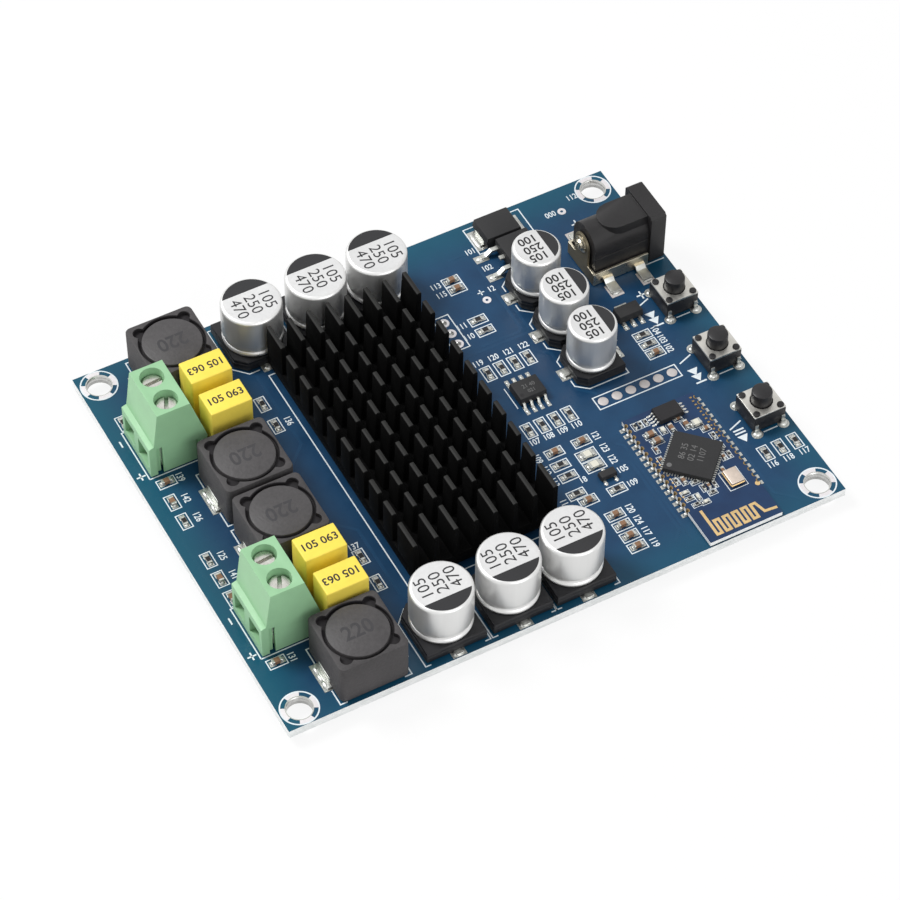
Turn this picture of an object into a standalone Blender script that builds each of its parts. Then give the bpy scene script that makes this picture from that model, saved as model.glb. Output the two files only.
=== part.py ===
# Stereo audio amplifier board with a wireless module, a finned heatsink,
# screw terminals, a DC barrel socket and three push buttons.
# Metres, +Z up. X runs along the long edge of the board, Y along the short
# one. The origin is under the board's centre, at the tips of the solder tails.
import math

import bmesh
import bpy
from mathutils import Matrix

MM = 0.001

# Clearances
SEAT = 0.2 * MM            # standoff of a soldered piece over what carries it
SLIP = 0.15 * MM           # running clearance round a piece that moves
SINK = 0.1 * MM            # how deep a fused shape reaches into its carrier

# Heatsink, an extruded comb cut across its fins
SINK_W = 25.0 * MM
SINK_L = 49.6 * MM
SINK_H = 8.7 * MM
SINK_BASE = 2.2 * MM
FINS = 8
FIN_ROOT = 1.2 * MM
FIN_TIP = 0.8 * MM
SLOTS = 9
SLOT_W = 1.55 * MM
SLOT_END = 5.3 * MM        # length of the first and last fin blocks
SLOT_FLOOR = 0.15 * MM     # metal left over the base in a slot

# Amplifier chip under the heatsink
AMP_L = 9.7 * MM
AMP_W = 6.1 * MM
AMP_T = 0.95 * MM
AMP_LEADS = 14
AMP_PITCH = 0.65 * MM

# Electrolytic capacitors: radius, height over the board, base size
BIG_R = 5.0 * MM
BIG_H = 10.3 * MM
BIG_BASE = 10.3 * MM
SMALL_R = 4.0 * MM
SMALL_H = 10.2 * MM
SMALL_BASE = 8.3 * MM
CAN_STEPS = 20
CAN_BASE_T = 1.9 * MM      # moulded base
CAN_POCKET = 0.3 * MM      # depth of the base's round pocket
CAN_EDGE = 0.55 * MM       # rounding of the top rim
CAN_CRIMP = 0.45 * MM      # how much narrower the foot in the pocket is
BEAD_D = 0.4 * MM          # depth of the rolled groove
BEAD_Z = 1.5 * MM          # groove height above the can's foot
BEAD_H = 0.6 * MM          # half the height of the groove
LUG_W = 1.2 * MM
LUG_OUT = 0.95 * MM
LUG_T = 0.35 * MM

# Shielded inductors
IND_W = 11.5 * MM
IND_H = 7.9 * MM
IND_CORE_R = 4.85 * MM
IND_GROOVE = 0.5 * MM
IND_GROOVE_D = 1.1 * MM
IND_ROUND = 0.9 * MM
IND_LUG_W = 5.0 * MM
IND_LUG_OUT = 0.7 * MM

# Film capacitors
FILM_L = 7.1 * MM
FILM_W = 4.8 * MM
FILM_H = 10.0 * MM
FILM_ROUND = 0.55 * MM
FILM_PITCH = 5.0 * MM

# Screw terminals, wires enter from -X
TERM_PITCH = 5.0 * MM
TERM_L = 2 * TERM_PITCH
TERM_WALL = 0.8 * MM       # between the rooms of the two cages
TERM_DEPTH = 10.0 * MM
TERM_H = 14.0 * MM
TERM_LEDGE_Z = 6.7 * MM    # top of the wire entry lip
TERM_LEDGE = 0.85 * MM     # how far that lip stands out
TERM_TOP_IN = 1.8 * MM     # front of the top face, behind the lip's face
TERM_TOP_D = 5.65 * MM     # depth of the top face
TERM_BACK_Z = 5.0 * MM     # where the sloping back turns upright
SCREW_IN = 4.55 * MM       # screw axis behind the front
SCREW_HEAD_R = 1.8 * MM
SCREW_HEAD_H = 1.7 * MM
SCREW_SHANK_R = 1.3 * MM
SCREW_SHANK_L = 4.4 * MM
SCREW_SLOT_W = 0.6 * MM
SCREW_SLOT_D = 0.8 * MM
SHOULDER_Z = 10.8 * MM     # ledge the screw head turns on
SHOULDER_T = 0.8 * MM
CAGE_L = 4.8 * MM
CAGE_W = TERM_PITCH - TERM_WALL - 2 * SLIP
CAGE_WALL = 0.45 * MM
CAGE_H = 6.4 * MM
CAGE_TOP_T = 1.0 * MM
CAGE_FLOOR_T = 0.8 * MM
CAGE_Z = 1.4 * MM          # foot of the open cage above the board
CAGE_TRAVEL = 2.0 * MM
BAR_Z = 5.4 * MM           # fixed contact bar through the cage
BAR_T = 0.8 * MM
BAR_W = 2.4 * MM
ENTRY_W = CAGE_W - 0.5 * MM
ENTRY_H = 3.6 * MM
ENTRY_Z = 1.7 * MM

# DC barrel socket, plug enters from +X
JACK_LEN = 13.3 * MM
JACK_W = 8.5 * MM
JACK_H = 10.8 * MM
JACK_FLANGE_T = 2.8 * MM
JACK_AXIS_Z = 6.3 * MM
JACK_BARREL_R = 3.65 * MM
JACK_BORE_R = 3.0 * MM
JACK_BORE_D = 9.6 * MM
JACK_PIN_R = 1.0 * MM
JACK_BOX_H = 5.5 * MM
JACK_BOSS_R = 2.85 * MM    # half the width of the flat-topped boss
JACK_BOSS_X = 7.5 * MM     # centre of its round end, behind the front face
JACK_BOSS_Z = 10.3 * MM
JACK_SHELL_T = 0.4 * MM
JACK_SKIRT_H = 2.6 * MM
JACK_TONGUE_W = 4.2 * MM
JACK_TAB_W = 1.8 * MM
JACK_TAB_OUT = 3.0 * MM
JACK_TAB_X = (2.7 * MM, 8.6 * MM)

# Push buttons
KEY_W = 5.8 * MM
KEY_BODY_H = 3.2 * MM
KEY_COVER_T = 0.3 * MM
KEY_TOTAL_H = 6.0 * MM
KEY_STEM_R = 1.7 * MM
KEY_FLANGE_R = 2.15 * MM
KEY_FLANGE_T = 0.5 * MM
KEY_TRAVEL = 0.25 * MM
KEY_PEG = 2.2 * MM         # peg offset from the centre
KEY_PEG_R = 0.4 * MM
KEY_HEAD_R = 0.58 * MM
KEY_ROW = 3.25 * MM        # leg rows from the centre
KEY_LEG_X = 2.4 * MM

# Power diode and its drop regulator
DIODE_L = 6.7 * MM
DIODE_W = 5.0 * MM
DIODE_H = 2.3 * MM
REG_L = 6.0 * MM
REG_W = 6.5 * MM
REG_H = 2.3 * MM
REG_LEAD = 2.25 * MM       # outer leads from the centre line

# Wireless module
MOD_L = 27.3 * MM
MOD_W = 12.9 * MM
MOD_T = 0.8 * MM
MOD_EDGE = 0.15 * MM       # distance from the board's edge
MOD_PITCH = 1.27 * MM
MOD_PADS = 16
MOD_FIRST = 1.1 * MM       # first pad from the module's inner end
MOD_CHIP_W = 8.0 * MM
MOD_CHIP_T = 0.85 * MM

# Circuit board
BOARD_T = 1.6 * MM
TAIL_L = 1.4 * MM          # solder tails below the board
HOLE_R = 2.05 * MM
PAD_R = 2.95 * MM
PAD_T = 0.06 * MM
HOLE_INSET_X = 3.28 * MM
HOLE_INSET_Y = 3.1 * MM
TOP = TAIL_L + BOARD_T     # height of the board's upper face
SEAT_Z = TOP + SEAT        # height at which soldered pieces start

# Layout along X, from the left edge of the board to the right one: terminal,
# film capacitor, lane, heatsink, lane, input capacitor, lane, barrel socket
TERM_EDGE = 2.6 * MM
FILM_GAP = 0.6 * MM
LEFT_LANE = 8.35 * MM
SIGNAL_LANE = 16.7 * MM
POWER_LANE = 4.4 * MM
JACK_EDGE = 0.65 * MM
BOARD_L = (TERM_EDGE + TERM_DEPTH + FILM_GAP + FILM_L + LEFT_LANE + SINK_W + SIGNAL_LANE
           + SMALL_BASE + POWER_LANE + JACK_LEN + JACK_EDGE)
TERM_FRONT = -BOARD_L / 2 + TERM_EDGE
SCREW_X = TERM_FRONT + SCREW_IN
FILM_X = TERM_FRONT + TERM_DEPTH + FILM_GAP + FILM_L / 2
IND_X = FILM_X + FILM_L / 2 + 0.4 * MM - IND_W / 2
SINK_LEFT = FILM_X + FILM_L / 2 + LEFT_LANE
SINK_X = SINK_LEFT + SINK_W / 2
SINK_RIGHT = SINK_X + SINK_W / 2
SMALL_X = SINK_RIGHT + SIGNAL_LANE + SMALL_BASE / 2
JACK_FRONT = BOARD_L / 2 - JACK_EDGE
KEY_X = BOARD_L / 2 - 4.05 * MM
ROW_START = IND_X + IND_W / 2 + IND_LUG_OUT + 2.35 * MM
ROW_GAPS = (0.0 * MM, 1.15 * MM, 0.7 * MM)
BIG_X = tuple(ROW_START + (i + 0.5) * BIG_BASE + sum(ROW_GAPS[:i + 1]) for i in range(3))
ROW_END = BIG_X[2] + BIG_BASE / 2

# Layout along Y, from the far edge to the near one: the space before each piece
# of the left column, and the space before each piece of the middle column
COLUMN = ((IND_W, 0.85 * MM), (FILM_W, 0.35 * MM), (FILM_W, 2.3 * MM), (IND_W, 2.1 * MM),
          (IND_W, 0.9 * MM), (FILM_W, 1.35 * MM), (FILM_W, 2.25 * MM), (IND_W, 0.8 * MM))
COLUMN_EDGE = 0.7 * MM
FAR_EDGE = 1.45 * MM
FAR_GAP = 0.7 * MM
NEAR_GAP = 3.25 * MM
NEAR_EDGE = 1.2 * MM
BOARD_W = max(sum(size + space for size, space in COLUMN) + COLUMN_EDGE,
              FAR_EDGE + FAR_GAP + SINK_L + NEAR_GAP + NEAR_EDGE + 2 * BIG_BASE)


def column_place(index):
    """Centre of a piece of the left column. The first four are set from the far
    edge and the last four from the near one."""
    if index < 4:
        return (BOARD_W / 2 - sum(size + space for size, space in COLUMN[:index + 1])
                + COLUMN[index][0] / 2)
    rest = sum(size + space for size, space in COLUMN[index + 1:]) + COLUMN_EDGE
    return -BOARD_W / 2 + rest + COLUMN[index][0] / 2


IND_Y = tuple(column_place(i) for i in (0, 3, 4, 7))
FILM_Y = tuple(column_place(i) for i in (1, 2, 5, 6))
TERM_Y = ((FILM_Y[0] + FILM_Y[1]) / 2 - 0.3 * MM, (FILM_Y[2] + FILM_Y[3]) / 2 + 0.025 * MM)
FAR_ROW = BOARD_W / 2 - FAR_EDGE - BIG_BASE / 2
NEAR_ROW = -BOARD_W / 2 + NEAR_EDGE + BIG_BASE / 2
SINK_Y = FAR_ROW - BIG_BASE / 2 - FAR_GAP - SINK_L / 2
DIODE_X = SMALL_X + 0.4 * MM
DIODE_Y = BOARD_W / 2 - 1.7 * MM - DIODE_W / 2
REG_X = SMALL_X + 1.3 * MM
REG_Y = DIODE_Y - DIODE_W / 2 - 0.3 * MM - REG_W / 2
SMALL_GAPS = (0.15 * MM, 0.85 * MM, 0.7 * MM)
SMALL_Y = tuple(REG_Y - REG_W / 2 - (i + 0.5) * SMALL_BASE - sum(SMALL_GAPS[:i + 1]) for i in range(3))
JACK_Y = BOARD_W / 2 - 17.65 * MM
KEY_PITCH = 13.5 * MM
KEY_Y = tuple(JACK_Y - 13.05 * MM - i * KEY_PITCH for i in range(3))

# Small outline chips
PREAMP_X = SINK_RIGHT + 9.05 * MM
PREAMP_Y = 1.75 * MM
LDO_X = KEY_X - 8.05 * MM
LDO_Y = KEY_Y[0] + 0.8 * MM
SOT_X = SINK_RIGHT + 11.85 * MM
SOT_Y = -18.7 * MM
MOD_X = KEY_X - 13.95 * MM

COLOURS = {
    "board": ((0.018, 0.075, 0.16), 0.45, 0.0),
    "black_anodised": ((0.015, 0.015, 0.016), 0.4, 0.9),
    "black_plastic": ((0.02, 0.02, 0.022), 0.5, 0.0),
    "can": ((0.8, 0.8, 0.8), 0.25, 1.0),
    "ferrite": ((0.09, 0.088, 0.09), 0.6, 0.0),
    "yellow": ((0.9, 0.72, 0.12), 0.4, 0.0),
    "green": ((0.4, 0.7, 0.42), 0.45, 0.0),
    "steel": ((0.7, 0.7, 0.68), 0.3, 1.0),
    "tin": ((0.78, 0.78, 0.76), 0.3, 1.0),
    "gold": ((0.85, 0.68, 0.38), 0.3, 1.0),
}

SMOOTH_ANGLE = 40          # edges flatter than this are shaded smooth

PARTS = "audio_amplifier_board"
CUTTERS = "shaping_solids"


def clear_scene():
    for item in list(bpy.data.objects):
        bpy.data.objects.remove(item, do_unlink=True)


def collection(name, parent=None):
    found = bpy.data.collections.new(name)
    (parent or bpy.context.scene.collection).children.link(found)
    return found


def material(kind):
    name = "mat_" + kind
    if name in bpy.data.materials:
        return bpy.data.materials[name]
    colour, rough, metal = COLOURS[kind]
    mat = bpy.data.materials.new(name)
    mat.use_nodes = True
    shader = mat.node_tree.nodes["Principled BSDF"]
    shader.inputs["Base Color"].default_value = (*colour, 1.0)
    shader.inputs["Roughness"].default_value = rough
    shader.inputs["Metallic"].default_value = metal
    mat.diffuse_color = (*colour, 1.0)
    return mat


def place(mesh, name, kind, at=(0, 0, 0)):
    """A named part of one material, its origin at the given point."""
    obj = bpy.data.objects.new(name, mesh)
    obj.location = at
    mesh.materials.clear()
    mesh.materials.append(material(kind))
    bpy.data.collections[PARTS].objects.link(obj)
    return obj


def helper(mesh, name):
    """A shape that only cuts or joins, kept out of the parts."""
    obj = bpy.data.objects.new(name, mesh)
    obj.hide_render = True
    obj.display_type = "WIRE"
    bpy.data.collections[CUTTERS].objects.link(obj)
    return obj


def shape(obj, mesh, operation, label):
    """Cut or join a part with a helper shape given in world space."""
    tool = helper(mesh, obj.name + "_" + label)
    mod = obj.modifiers.new(label, "BOOLEAN")
    mod.operation = operation
    mod.solver = "EXACT"
    mod.object = tool
    return mod


def cut(obj, mesh, label="cut"):
    return shape(obj, mesh, "DIFFERENCE", label)


def join(obj, mesh, label="join"):
    return shape(obj, mesh, "UNION", label)


def bevel(obj, width, segments=2, angle=40):
    mod = obj.modifiers.new("edges", "BEVEL")
    mod.width = width
    mod.segments = segments
    mod.limit_method = "ANGLE"
    mod.angle_limit = math.radians(angle)
    return mod


def blocks(items):
    """One mesh of separate boxes: (x, y, z of the foot, sx, sy, sz, turn)."""
    bm = bmesh.new()
    for item in items:
        x, y, z, sx, sy, sz = item[:6]
        turn = item[6] if len(item) > 6 else 0.0
        frame = Matrix.Translation((x, y, z + sz / 2)) @ Matrix.Rotation(turn, 4, "Z")
        frame = frame @ Matrix.Diagonal((sx, sy, sz, 1.0))
        bmesh.ops.create_cube(bm, size=1.0, matrix=frame)
    return to_mesh(bm)


def rods(items, segments=24, axis="Z", weld=False):
    """One mesh of cylinders or cones: (x, y, z foot, r1, r2, height). With weld,
    cones that share a rim become one solid."""
    bm = bmesh.new()
    for x, y, z, r1, r2, height in items:
        frame = Matrix.Translation((x, y, z))
        if axis == "X":
            frame = frame @ Matrix.Rotation(math.radians(90), 4, "Y")
        frame = frame @ Matrix.Translation((0, 0, height / 2))
        bmesh.ops.create_cone(bm, cap_ends=True, segments=segments, radius1=r1,
                              radius2=r2, depth=height, matrix=frame)
    if weld:
        bmesh.ops.remove_doubles(bm, verts=bm.verts, dist=0.001 * MM)
        inner = [f for f in bm.faces if all(len(e.link_faces) > 2 for e in f.edges)]
        bmesh.ops.delete(bm, geom=inner, context="FACES_ONLY")
    return rounded(to_mesh(bm))


def to_mesh(bm):
    mesh = bpy.data.meshes.new("shape")
    bmesh.ops.recalc_face_normals(bm, faces=bm.faces)
    bm.to_mesh(mesh)
    bm.free()
    return mesh


def rounded(mesh):
    """Shade a round shape smooth and keep its rims sharp."""
    mesh.shade_smooth()
    mesh.set_sharp_from_angle(angle=math.radians(SMOOTH_ANGLE))
    return mesh


def outline(points, thickness, plane="XY"):
    """A flat outline with a thickness, centred on the plane it lies in."""
    curve = bpy.data.curves.new("outline", "CURVE")
    curve.dimensions = "2D"
    curve.fill_mode = "BOTH"
    curve.extrude = thickness / 2
    line = curve.splines.new("POLY")
    line.points.add(len(points) - 1)
    for point, (u, v) in zip(line.points, points):
        point.co = (u, v, 0.0, 1.0)
    line.use_cyclic_u = True
    obj = bpy.data.objects.new("outline", curve)
    bpy.context.scene.collection.objects.link(obj)
    bpy.context.view_layer.update()
    ready = obj.evaluated_get(bpy.context.evaluated_depsgraph_get())
    mesh = bpy.data.meshes.new_from_object(ready)
    bpy.data.objects.remove(obj, do_unlink=True)
    bm = bmesh.new()
    bm.from_mesh(mesh)
    bmesh.ops.remove_doubles(bm, verts=bm.verts, dist=0.00001 * MM)
    if plane == "XZ":
        bmesh.ops.rotate(bm, verts=bm.verts, matrix=Matrix.Rotation(math.radians(90), 3, "X"))
    if plane == "YZ":
        bmesh.ops.rotate(bm, verts=bm.verts, matrix=Matrix.Rotation(math.radians(90), 3, "X"))
        bmesh.ops.rotate(bm, verts=bm.verts, matrix=Matrix.Rotation(math.radians(90), 3, "Z"))
    return to_mesh(bm)


def moved(mesh, *frames):
    """One mesh holding a copy of the given one in each frame."""
    bm = bmesh.new()
    for frame in frames:
        step = mesh.copy()
        step.transform(frame)
        bm.from_mesh(step)
    return to_mesh(bm)


def shift(x, y, z, turn=0.0):
    return Matrix.Translation((x, y, z)) @ Matrix.Rotation(turn, 4, "Z")


def turned(name, kind, profile, at, steps):
    """A solid of revolution: the profile runs from the axis at the top, down
    the outside and back to the axis."""
    mesh = bpy.data.meshes.new(name)
    bm = bmesh.new()
    verts = [bm.verts.new((r, 0, z)) for r, z in profile]
    for first, second in zip(verts, verts[1:]):
        bm.edges.new((first, second))
    bm.to_mesh(mesh)
    bm.free()
    lathe = bpy.data.objects.new(name + "_profile", mesh)
    bpy.context.scene.collection.objects.link(lathe)
    mod = lathe.modifiers.new("turn", "SCREW")
    mod.steps = steps
    mod.render_steps = steps
    mod.use_merge_vertices = True
    mod.merge_threshold = 0.00001
    bpy.context.view_layer.update()
    ready = lathe.evaluated_get(bpy.context.evaluated_depsgraph_get())
    solid = bpy.data.meshes.new_from_object(ready)
    bpy.data.objects.remove(lathe, do_unlink=True)
    return place(rounded(solid), name, kind, at)


def arc(cx, cy, r, start, end, count):
    """Points of an arc, angles in degrees."""
    steps = [start + (end - start) * i / (count - 1) for i in range(count)]
    return [(cx + r * math.cos(math.radians(a)), cy + r * math.sin(math.radians(a)))
            for a in steps]


def rounded_plan(w, d, r, count=4):
    """Plan outline of a rectangle with round corners."""
    out = []
    for k, (sx, sy) in enumerate(((1, 1), (-1, 1), (-1, -1), (1, -1))):
        out += arc(sx * (w / 2 - r), sy * (d / 2 - r), r, 90 * k, 90 * k + 90, count)
    return out


def gull_lead(run, rise, foot, thick):
    """Side outline of a gull-wing lead, from the body outwards."""
    return [(-SINK, rise), (run * 0.3, rise), (run * 0.5, thick), (run * 0.5 + foot, thick),
            (run * 0.5 + foot, 0.0), (run * 0.5 - thick * 0.4, 0.0),
            (run * 0.3 - thick * 0.4, rise - thick), (-SINK, rise - thick)]


def lead_rows(count, pitch, half_width, lead, width, z):
    """Frames of two rows of leads that leave a body along +X and -X."""
    frames = []
    for side in (0, 1):
        for i in range(count):
            offset = (i - (count - 1) / 2) * pitch
            sign = -1 if side else 1
            frames.append(shift(sign * half_width, offset, z, math.pi * side))
    return moved(outline(lead, width, "XZ"), *frames)


def chip(name, x, y, z, long, wide, thick, count, pitch, run, turn=0.0):
    """A moulded chip with gull-wing leads on its two long sides."""
    rise = 0.55 * thick
    body = blocks([(0, 0, 0.1 * MM, wide, long, thick)])
    body.transform(shift(x, y, z, turn))
    obj = place(body, name, "black_plastic")
    leads = lead_rows(count, pitch, wide / 2, gull_lead(run, rise, run * 0.5, 0.18 * MM),
                      pitch * 0.34, 0.0)
    leads.transform(shift(x, y, z, turn))
    join(obj, leads, "leads")
    return obj


def passives():
    """Two-ended chip parts on the board: x, y, length, width, height, turned."""
    quarter = math.pi / 2
    out = []
    small = (1.6 * MM, 0.8 * MM, 0.45 * MM)
    tall = (1.6 * MM, 0.85 * MM, 0.8 * MM)
    near = SINK_RIGHT
    for i in range(4):
        out.append((near + 5.45 * MM + i * 2.45 * MM, 8.3 * MM, *small, quarter))
        out.append((near + 5.45 * MM + i * 2.45 * MM, -5.0 * MM, *small, quarter))
        out.append((ROW_END + 6.25 * MM, NEAR_ROW + 6.1 * MM - i * 2.3 * MM, *tall, 0.0))
    for i in range(3):
        out.append((KEY_X - 3.25 * MM + i * 2.7 * MM, KEY_Y[2] - 7.15 * MM, *small, quarter))
        out.append((LDO_X, LDO_Y - 4.8 * MM - i * 2.1 * MM, *(tall if i == 2 else small), 0.0))
    for i in range(2):
        out.append((ROW_END + 6.75 * MM, FAR_ROW - 3.35 * MM - i * 1.95 * MM, *tall, 0.0))
        out.append((ROW_END + 6.55 * MM, FAR_ROW - 12.8 * MM - i * 2.5 * MM, *small, 0.0))
        out.append((SINK_LEFT - 4.2 * MM, TERM_Y[0] + 0.15 * MM - i * 4.95 * MM, *small, quarter))
        out.append((SINK_LEFT - 4.35 * MM, TERM_Y[1] + 4.8 * MM - i * 5.6 * MM, *small, quarter))
        out.append((near + 6.45 * MM, -13.4 * MM - i * 2.5 * MM, *small, 0.0))
        out.append((near + 11.15 * MM, -13.6 * MM - i * 2.3 * MM, 2.0 * MM, 1.25 * MM, 0.6 * MM, 0.0))
    out.append((near + 6.85 * MM, -10.75 * MM, *tall, 0.0))
    out.append((near + 11.7 * MM, -10.8 * MM, *tall, 0.0))
    out.append((near + 5.85 * MM, -19.6 * MM, *small, 0.0))
    out.append((near + 6.85 * MM, -21.55 * MM, *tall, 0.0))
    out.append((near + 11.9 * MM, -21.7 * MM, *small, 0.0))
    front = TERM_FRONT + 0.8 * MM
    half = TERM_L / 2
    out.append((front, TERM_Y[0] + half + 2.05 * MM, *small, quarter))
    out.append((front + 0.9 * MM, TERM_Y[0] - half - 1.95 * MM, *tall, 0.0))
    out.append((front + 0.7 * MM, TERM_Y[1] - half - 1.8 * MM, *tall, 0.0))
    for i in range(3):
        size = small if i == 2 else tall
        out.append((front, TERM_Y[1] + half + 2.05 * MM + i * 4.1 * MM, *size, quarter))
        if i > 0:
            out.append((front, TERM_Y[0] - half - 1.75 * MM - i * 4.2 * MM, *size, quarter))
    return out


def pin_tails():
    """Where leads come through the board: x, y, pin radius."""
    out = []
    for ty in TERM_Y:
        for side in (-1, 1):
            out.append((TERM_FRONT + TERM_DEPTH - 2.2 * MM, ty + side * TERM_PITCH / 2, 0.5 * MM))
    for fy in FILM_Y:
        for side in (-1, 1):
            out.append((FILM_X + side * FILM_PITCH / 2, fy, 0.3 * MM))
    for ky in KEY_Y:
        for sx in (-1, 1):
            for sy in (-1, 1):
                out.append((KEY_X + sx * KEY_LEG_X, ky + sy * KEY_ROW, 0.35 * MM))
    return out


def circuit_board():
    mesh = blocks([(0, 0, TAIL_L, BOARD_L, BOARD_W, BOARD_T)])
    obj = place(mesh, "circuit_board", "board")
    holes = []
    for sx in (-1, 1):
        for sy in (-1, 1):
            holes.append((sx * (BOARD_L / 2 - HOLE_INSET_X), sy * (BOARD_W / 2 - HOLE_INSET_Y)))
    pads = [(x, y, TAIL_L - PAD_T, PAD_R, PAD_R, BOARD_T + 2 * PAD_T) for x, y in holes]
    join(obj, rods(pads, 20), "pads")
    join(obj, blocks([(x, y, TOP - SINK, long, wide, high + SINK, turn)
                      for x, y, long, wide, high, turn in passives()]), "passives")
    sot = [(SOT_X, SOT_Y, TOP - SINK, 2.9 * MM, 1.4 * MM, 1.05 * MM)]
    join(obj, blocks(sot), "transistor")
    legs = []
    for dx, side in ((-0.95 * MM, -1), (0.95 * MM, -1), (0.0, 1)):
        legs.append((SOT_X + dx, SOT_Y + side * 0.95 * MM, TOP - SINK, 0.42 * MM, 0.7 * MM, 0.35 * MM))
    join(obj, blocks(legs), "transistor_legs")
    tails = pin_tails()
    fillet = TAIL_L * 0.55
    shapes = [(x, y, TAIL_L - fillet, r, r * 2.4, fillet + SINK) for x, y, r in tails]
    shapes += [(x, y, 0.0, r * 0.9, r, TAIL_L - fillet) for x, y, r in tails]
    join(obj, rods(shapes, 6, weld=True), "solder")
    drills = [(x, y, TAIL_L - MM, HOLE_R, HOLE_R, BOARD_T + 2 * MM) for x, y in holes]
    cut(obj, rods(drills, 20), "screw_holes")
    row = [(SINK_RIGHT + 4.22 * MM, 21.0 * MM - i * 2.46 * MM) for i in range(3)]
    vias = [(x, y, TAIL_L - MM, 0.5 * MM, 0.5 * MM, BOARD_T + 2 * MM) for x, y in row]
    cut(obj, rods(vias, 10), "header_holes")
    return obj


def comb():
    """Cross-section of the heatsink, fins up, its foot at zero."""
    pitch = (SINK_W - FIN_ROOT) / (FINS - 1)
    points = [(-SINK_W / 2, 0.0), (SINK_W / 2, 0.0)]
    for i in reversed(range(FINS)):
        mid = -SINK_W / 2 + FIN_ROOT / 2 + i * pitch
        right, left = FIN_ROOT / 2, FIN_ROOT / 2
        tip_r, tip_l = FIN_TIP / 2, FIN_TIP / 2
        if i == FINS - 1:
            tip_r, tip_l = FIN_ROOT / 2, FIN_TIP - FIN_ROOT / 2
        if i == 0:
            tip_r, tip_l = FIN_TIP - FIN_ROOT / 2, FIN_ROOT / 2
        if i < FINS - 1:
            points.append((mid + right, SINK_BASE))
        points.append((mid + tip_r, SINK_H))
        points.append((mid - tip_l, SINK_H))
        if i > 0:
            points.append((mid - left, SINK_BASE))
    return points


def heatsink(foot):
    mesh = outline(comb(), SINK_L, "XZ")
    mesh.transform(shift(SINK_X, SINK_Y, foot))
    obj = place(mesh, "heatsink", "black_anodised")
    short = (SINK_L - 2 * SLOT_END - SLOTS * SLOT_W) / (SLOTS - 1)
    slots = []
    for i in range(SLOTS):
        y = SINK_Y - SINK_L / 2 + SLOT_END + SLOT_W / 2 + i * (short + SLOT_W)
        slots.append((SINK_X, y, foot + SINK_BASE + SLOT_FLOOR, SINK_W + 2 * MM, SLOT_W, SINK_H))
    cut(obj, blocks(slots), "cross_cuts")
    return obj


def can(name, x, y, radius, height):
    """Drawn aluminium can with a rolled groove above its crimped foot."""
    foot = CAN_BASE_T - CAN_POCKET + SEAT
    top = height - foot - SEAT
    rim = [(radius - CAN_EDGE + CAN_EDGE * math.sin(math.radians(a)),
            top - CAN_EDGE + CAN_EDGE * math.cos(math.radians(a))) for a in (0, 45, 90)]
    bead = [(radius, BEAD_Z + BEAD_H), (radius - BEAD_D, BEAD_Z), (radius, BEAD_Z - BEAD_H)]
    profile = [(0.0, top)] + rim + bead + [(radius - CAN_CRIMP, 0.0), (0.0, 0.0)]
    return turned(name, "can", profile, (x, y, SEAT_Z + foot), CAN_STEPS)


def can_base(name, x, y, size, radius, quarter):
    """Moulded base with two cut corners, a round pocket and two solder lugs.
    The cut corners point along +X before the turn."""
    h = size / 2
    c = size * 0.17
    plan = [(h - c, -h), (h, -h + c), (h, h - c), (h - c, h), (-h, h), (-h, -h)]
    turn = quarter * math.pi / 2
    frame = shift(x, y, SEAT_Z, turn)
    mesh = outline(plan, CAN_BASE_T, "XY")
    mesh.transform(frame @ shift(0, 0, CAN_BASE_T / 2))
    obj = place(mesh, name, "black_plastic")
    lugs = blocks([(s * (h + LUG_OUT / 2 - 0.5 * MM), 0, 0.0, LUG_OUT + MM, LUG_W, LUG_T) for s in (-1, 1)])
    lugs.transform(frame)
    join(obj, lugs, "lugs")
    bore = radius - CAN_CRIMP * (1 - CAN_POCKET / (BEAD_Z - BEAD_H)) + SLIP
    pocket = rods([(x, y, SEAT_Z + CAN_BASE_T - CAN_POCKET, bore, bore, CAN_BASE_T)], CAN_STEPS)
    cut(obj, pocket, "pocket")
    return obj


def electrolytics():
    groups = []
    for i, x in enumerate(BIG_X):
        groups.append(("output_capacitor_%d" % (i + 1), x, FAR_ROW, BIG_R, BIG_H, BIG_BASE, 3))
    for i, x in enumerate(BIG_X):
        groups.append(("output_capacitor_%d" % (i + 4), x, NEAR_ROW, BIG_R, BIG_H, BIG_BASE, 1))
    for i, y in enumerate(SMALL_Y):
        groups.append(("input_capacitor_%d" % (i + 1), SMALL_X, y, SMALL_R, SMALL_H, SMALL_BASE, 2))
    for name, x, y, radius, height, size, quarter in groups:
        can(name + "_can", x, y, radius, height)
        can_base(name + "_base", x, y, size, radius, quarter)


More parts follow.
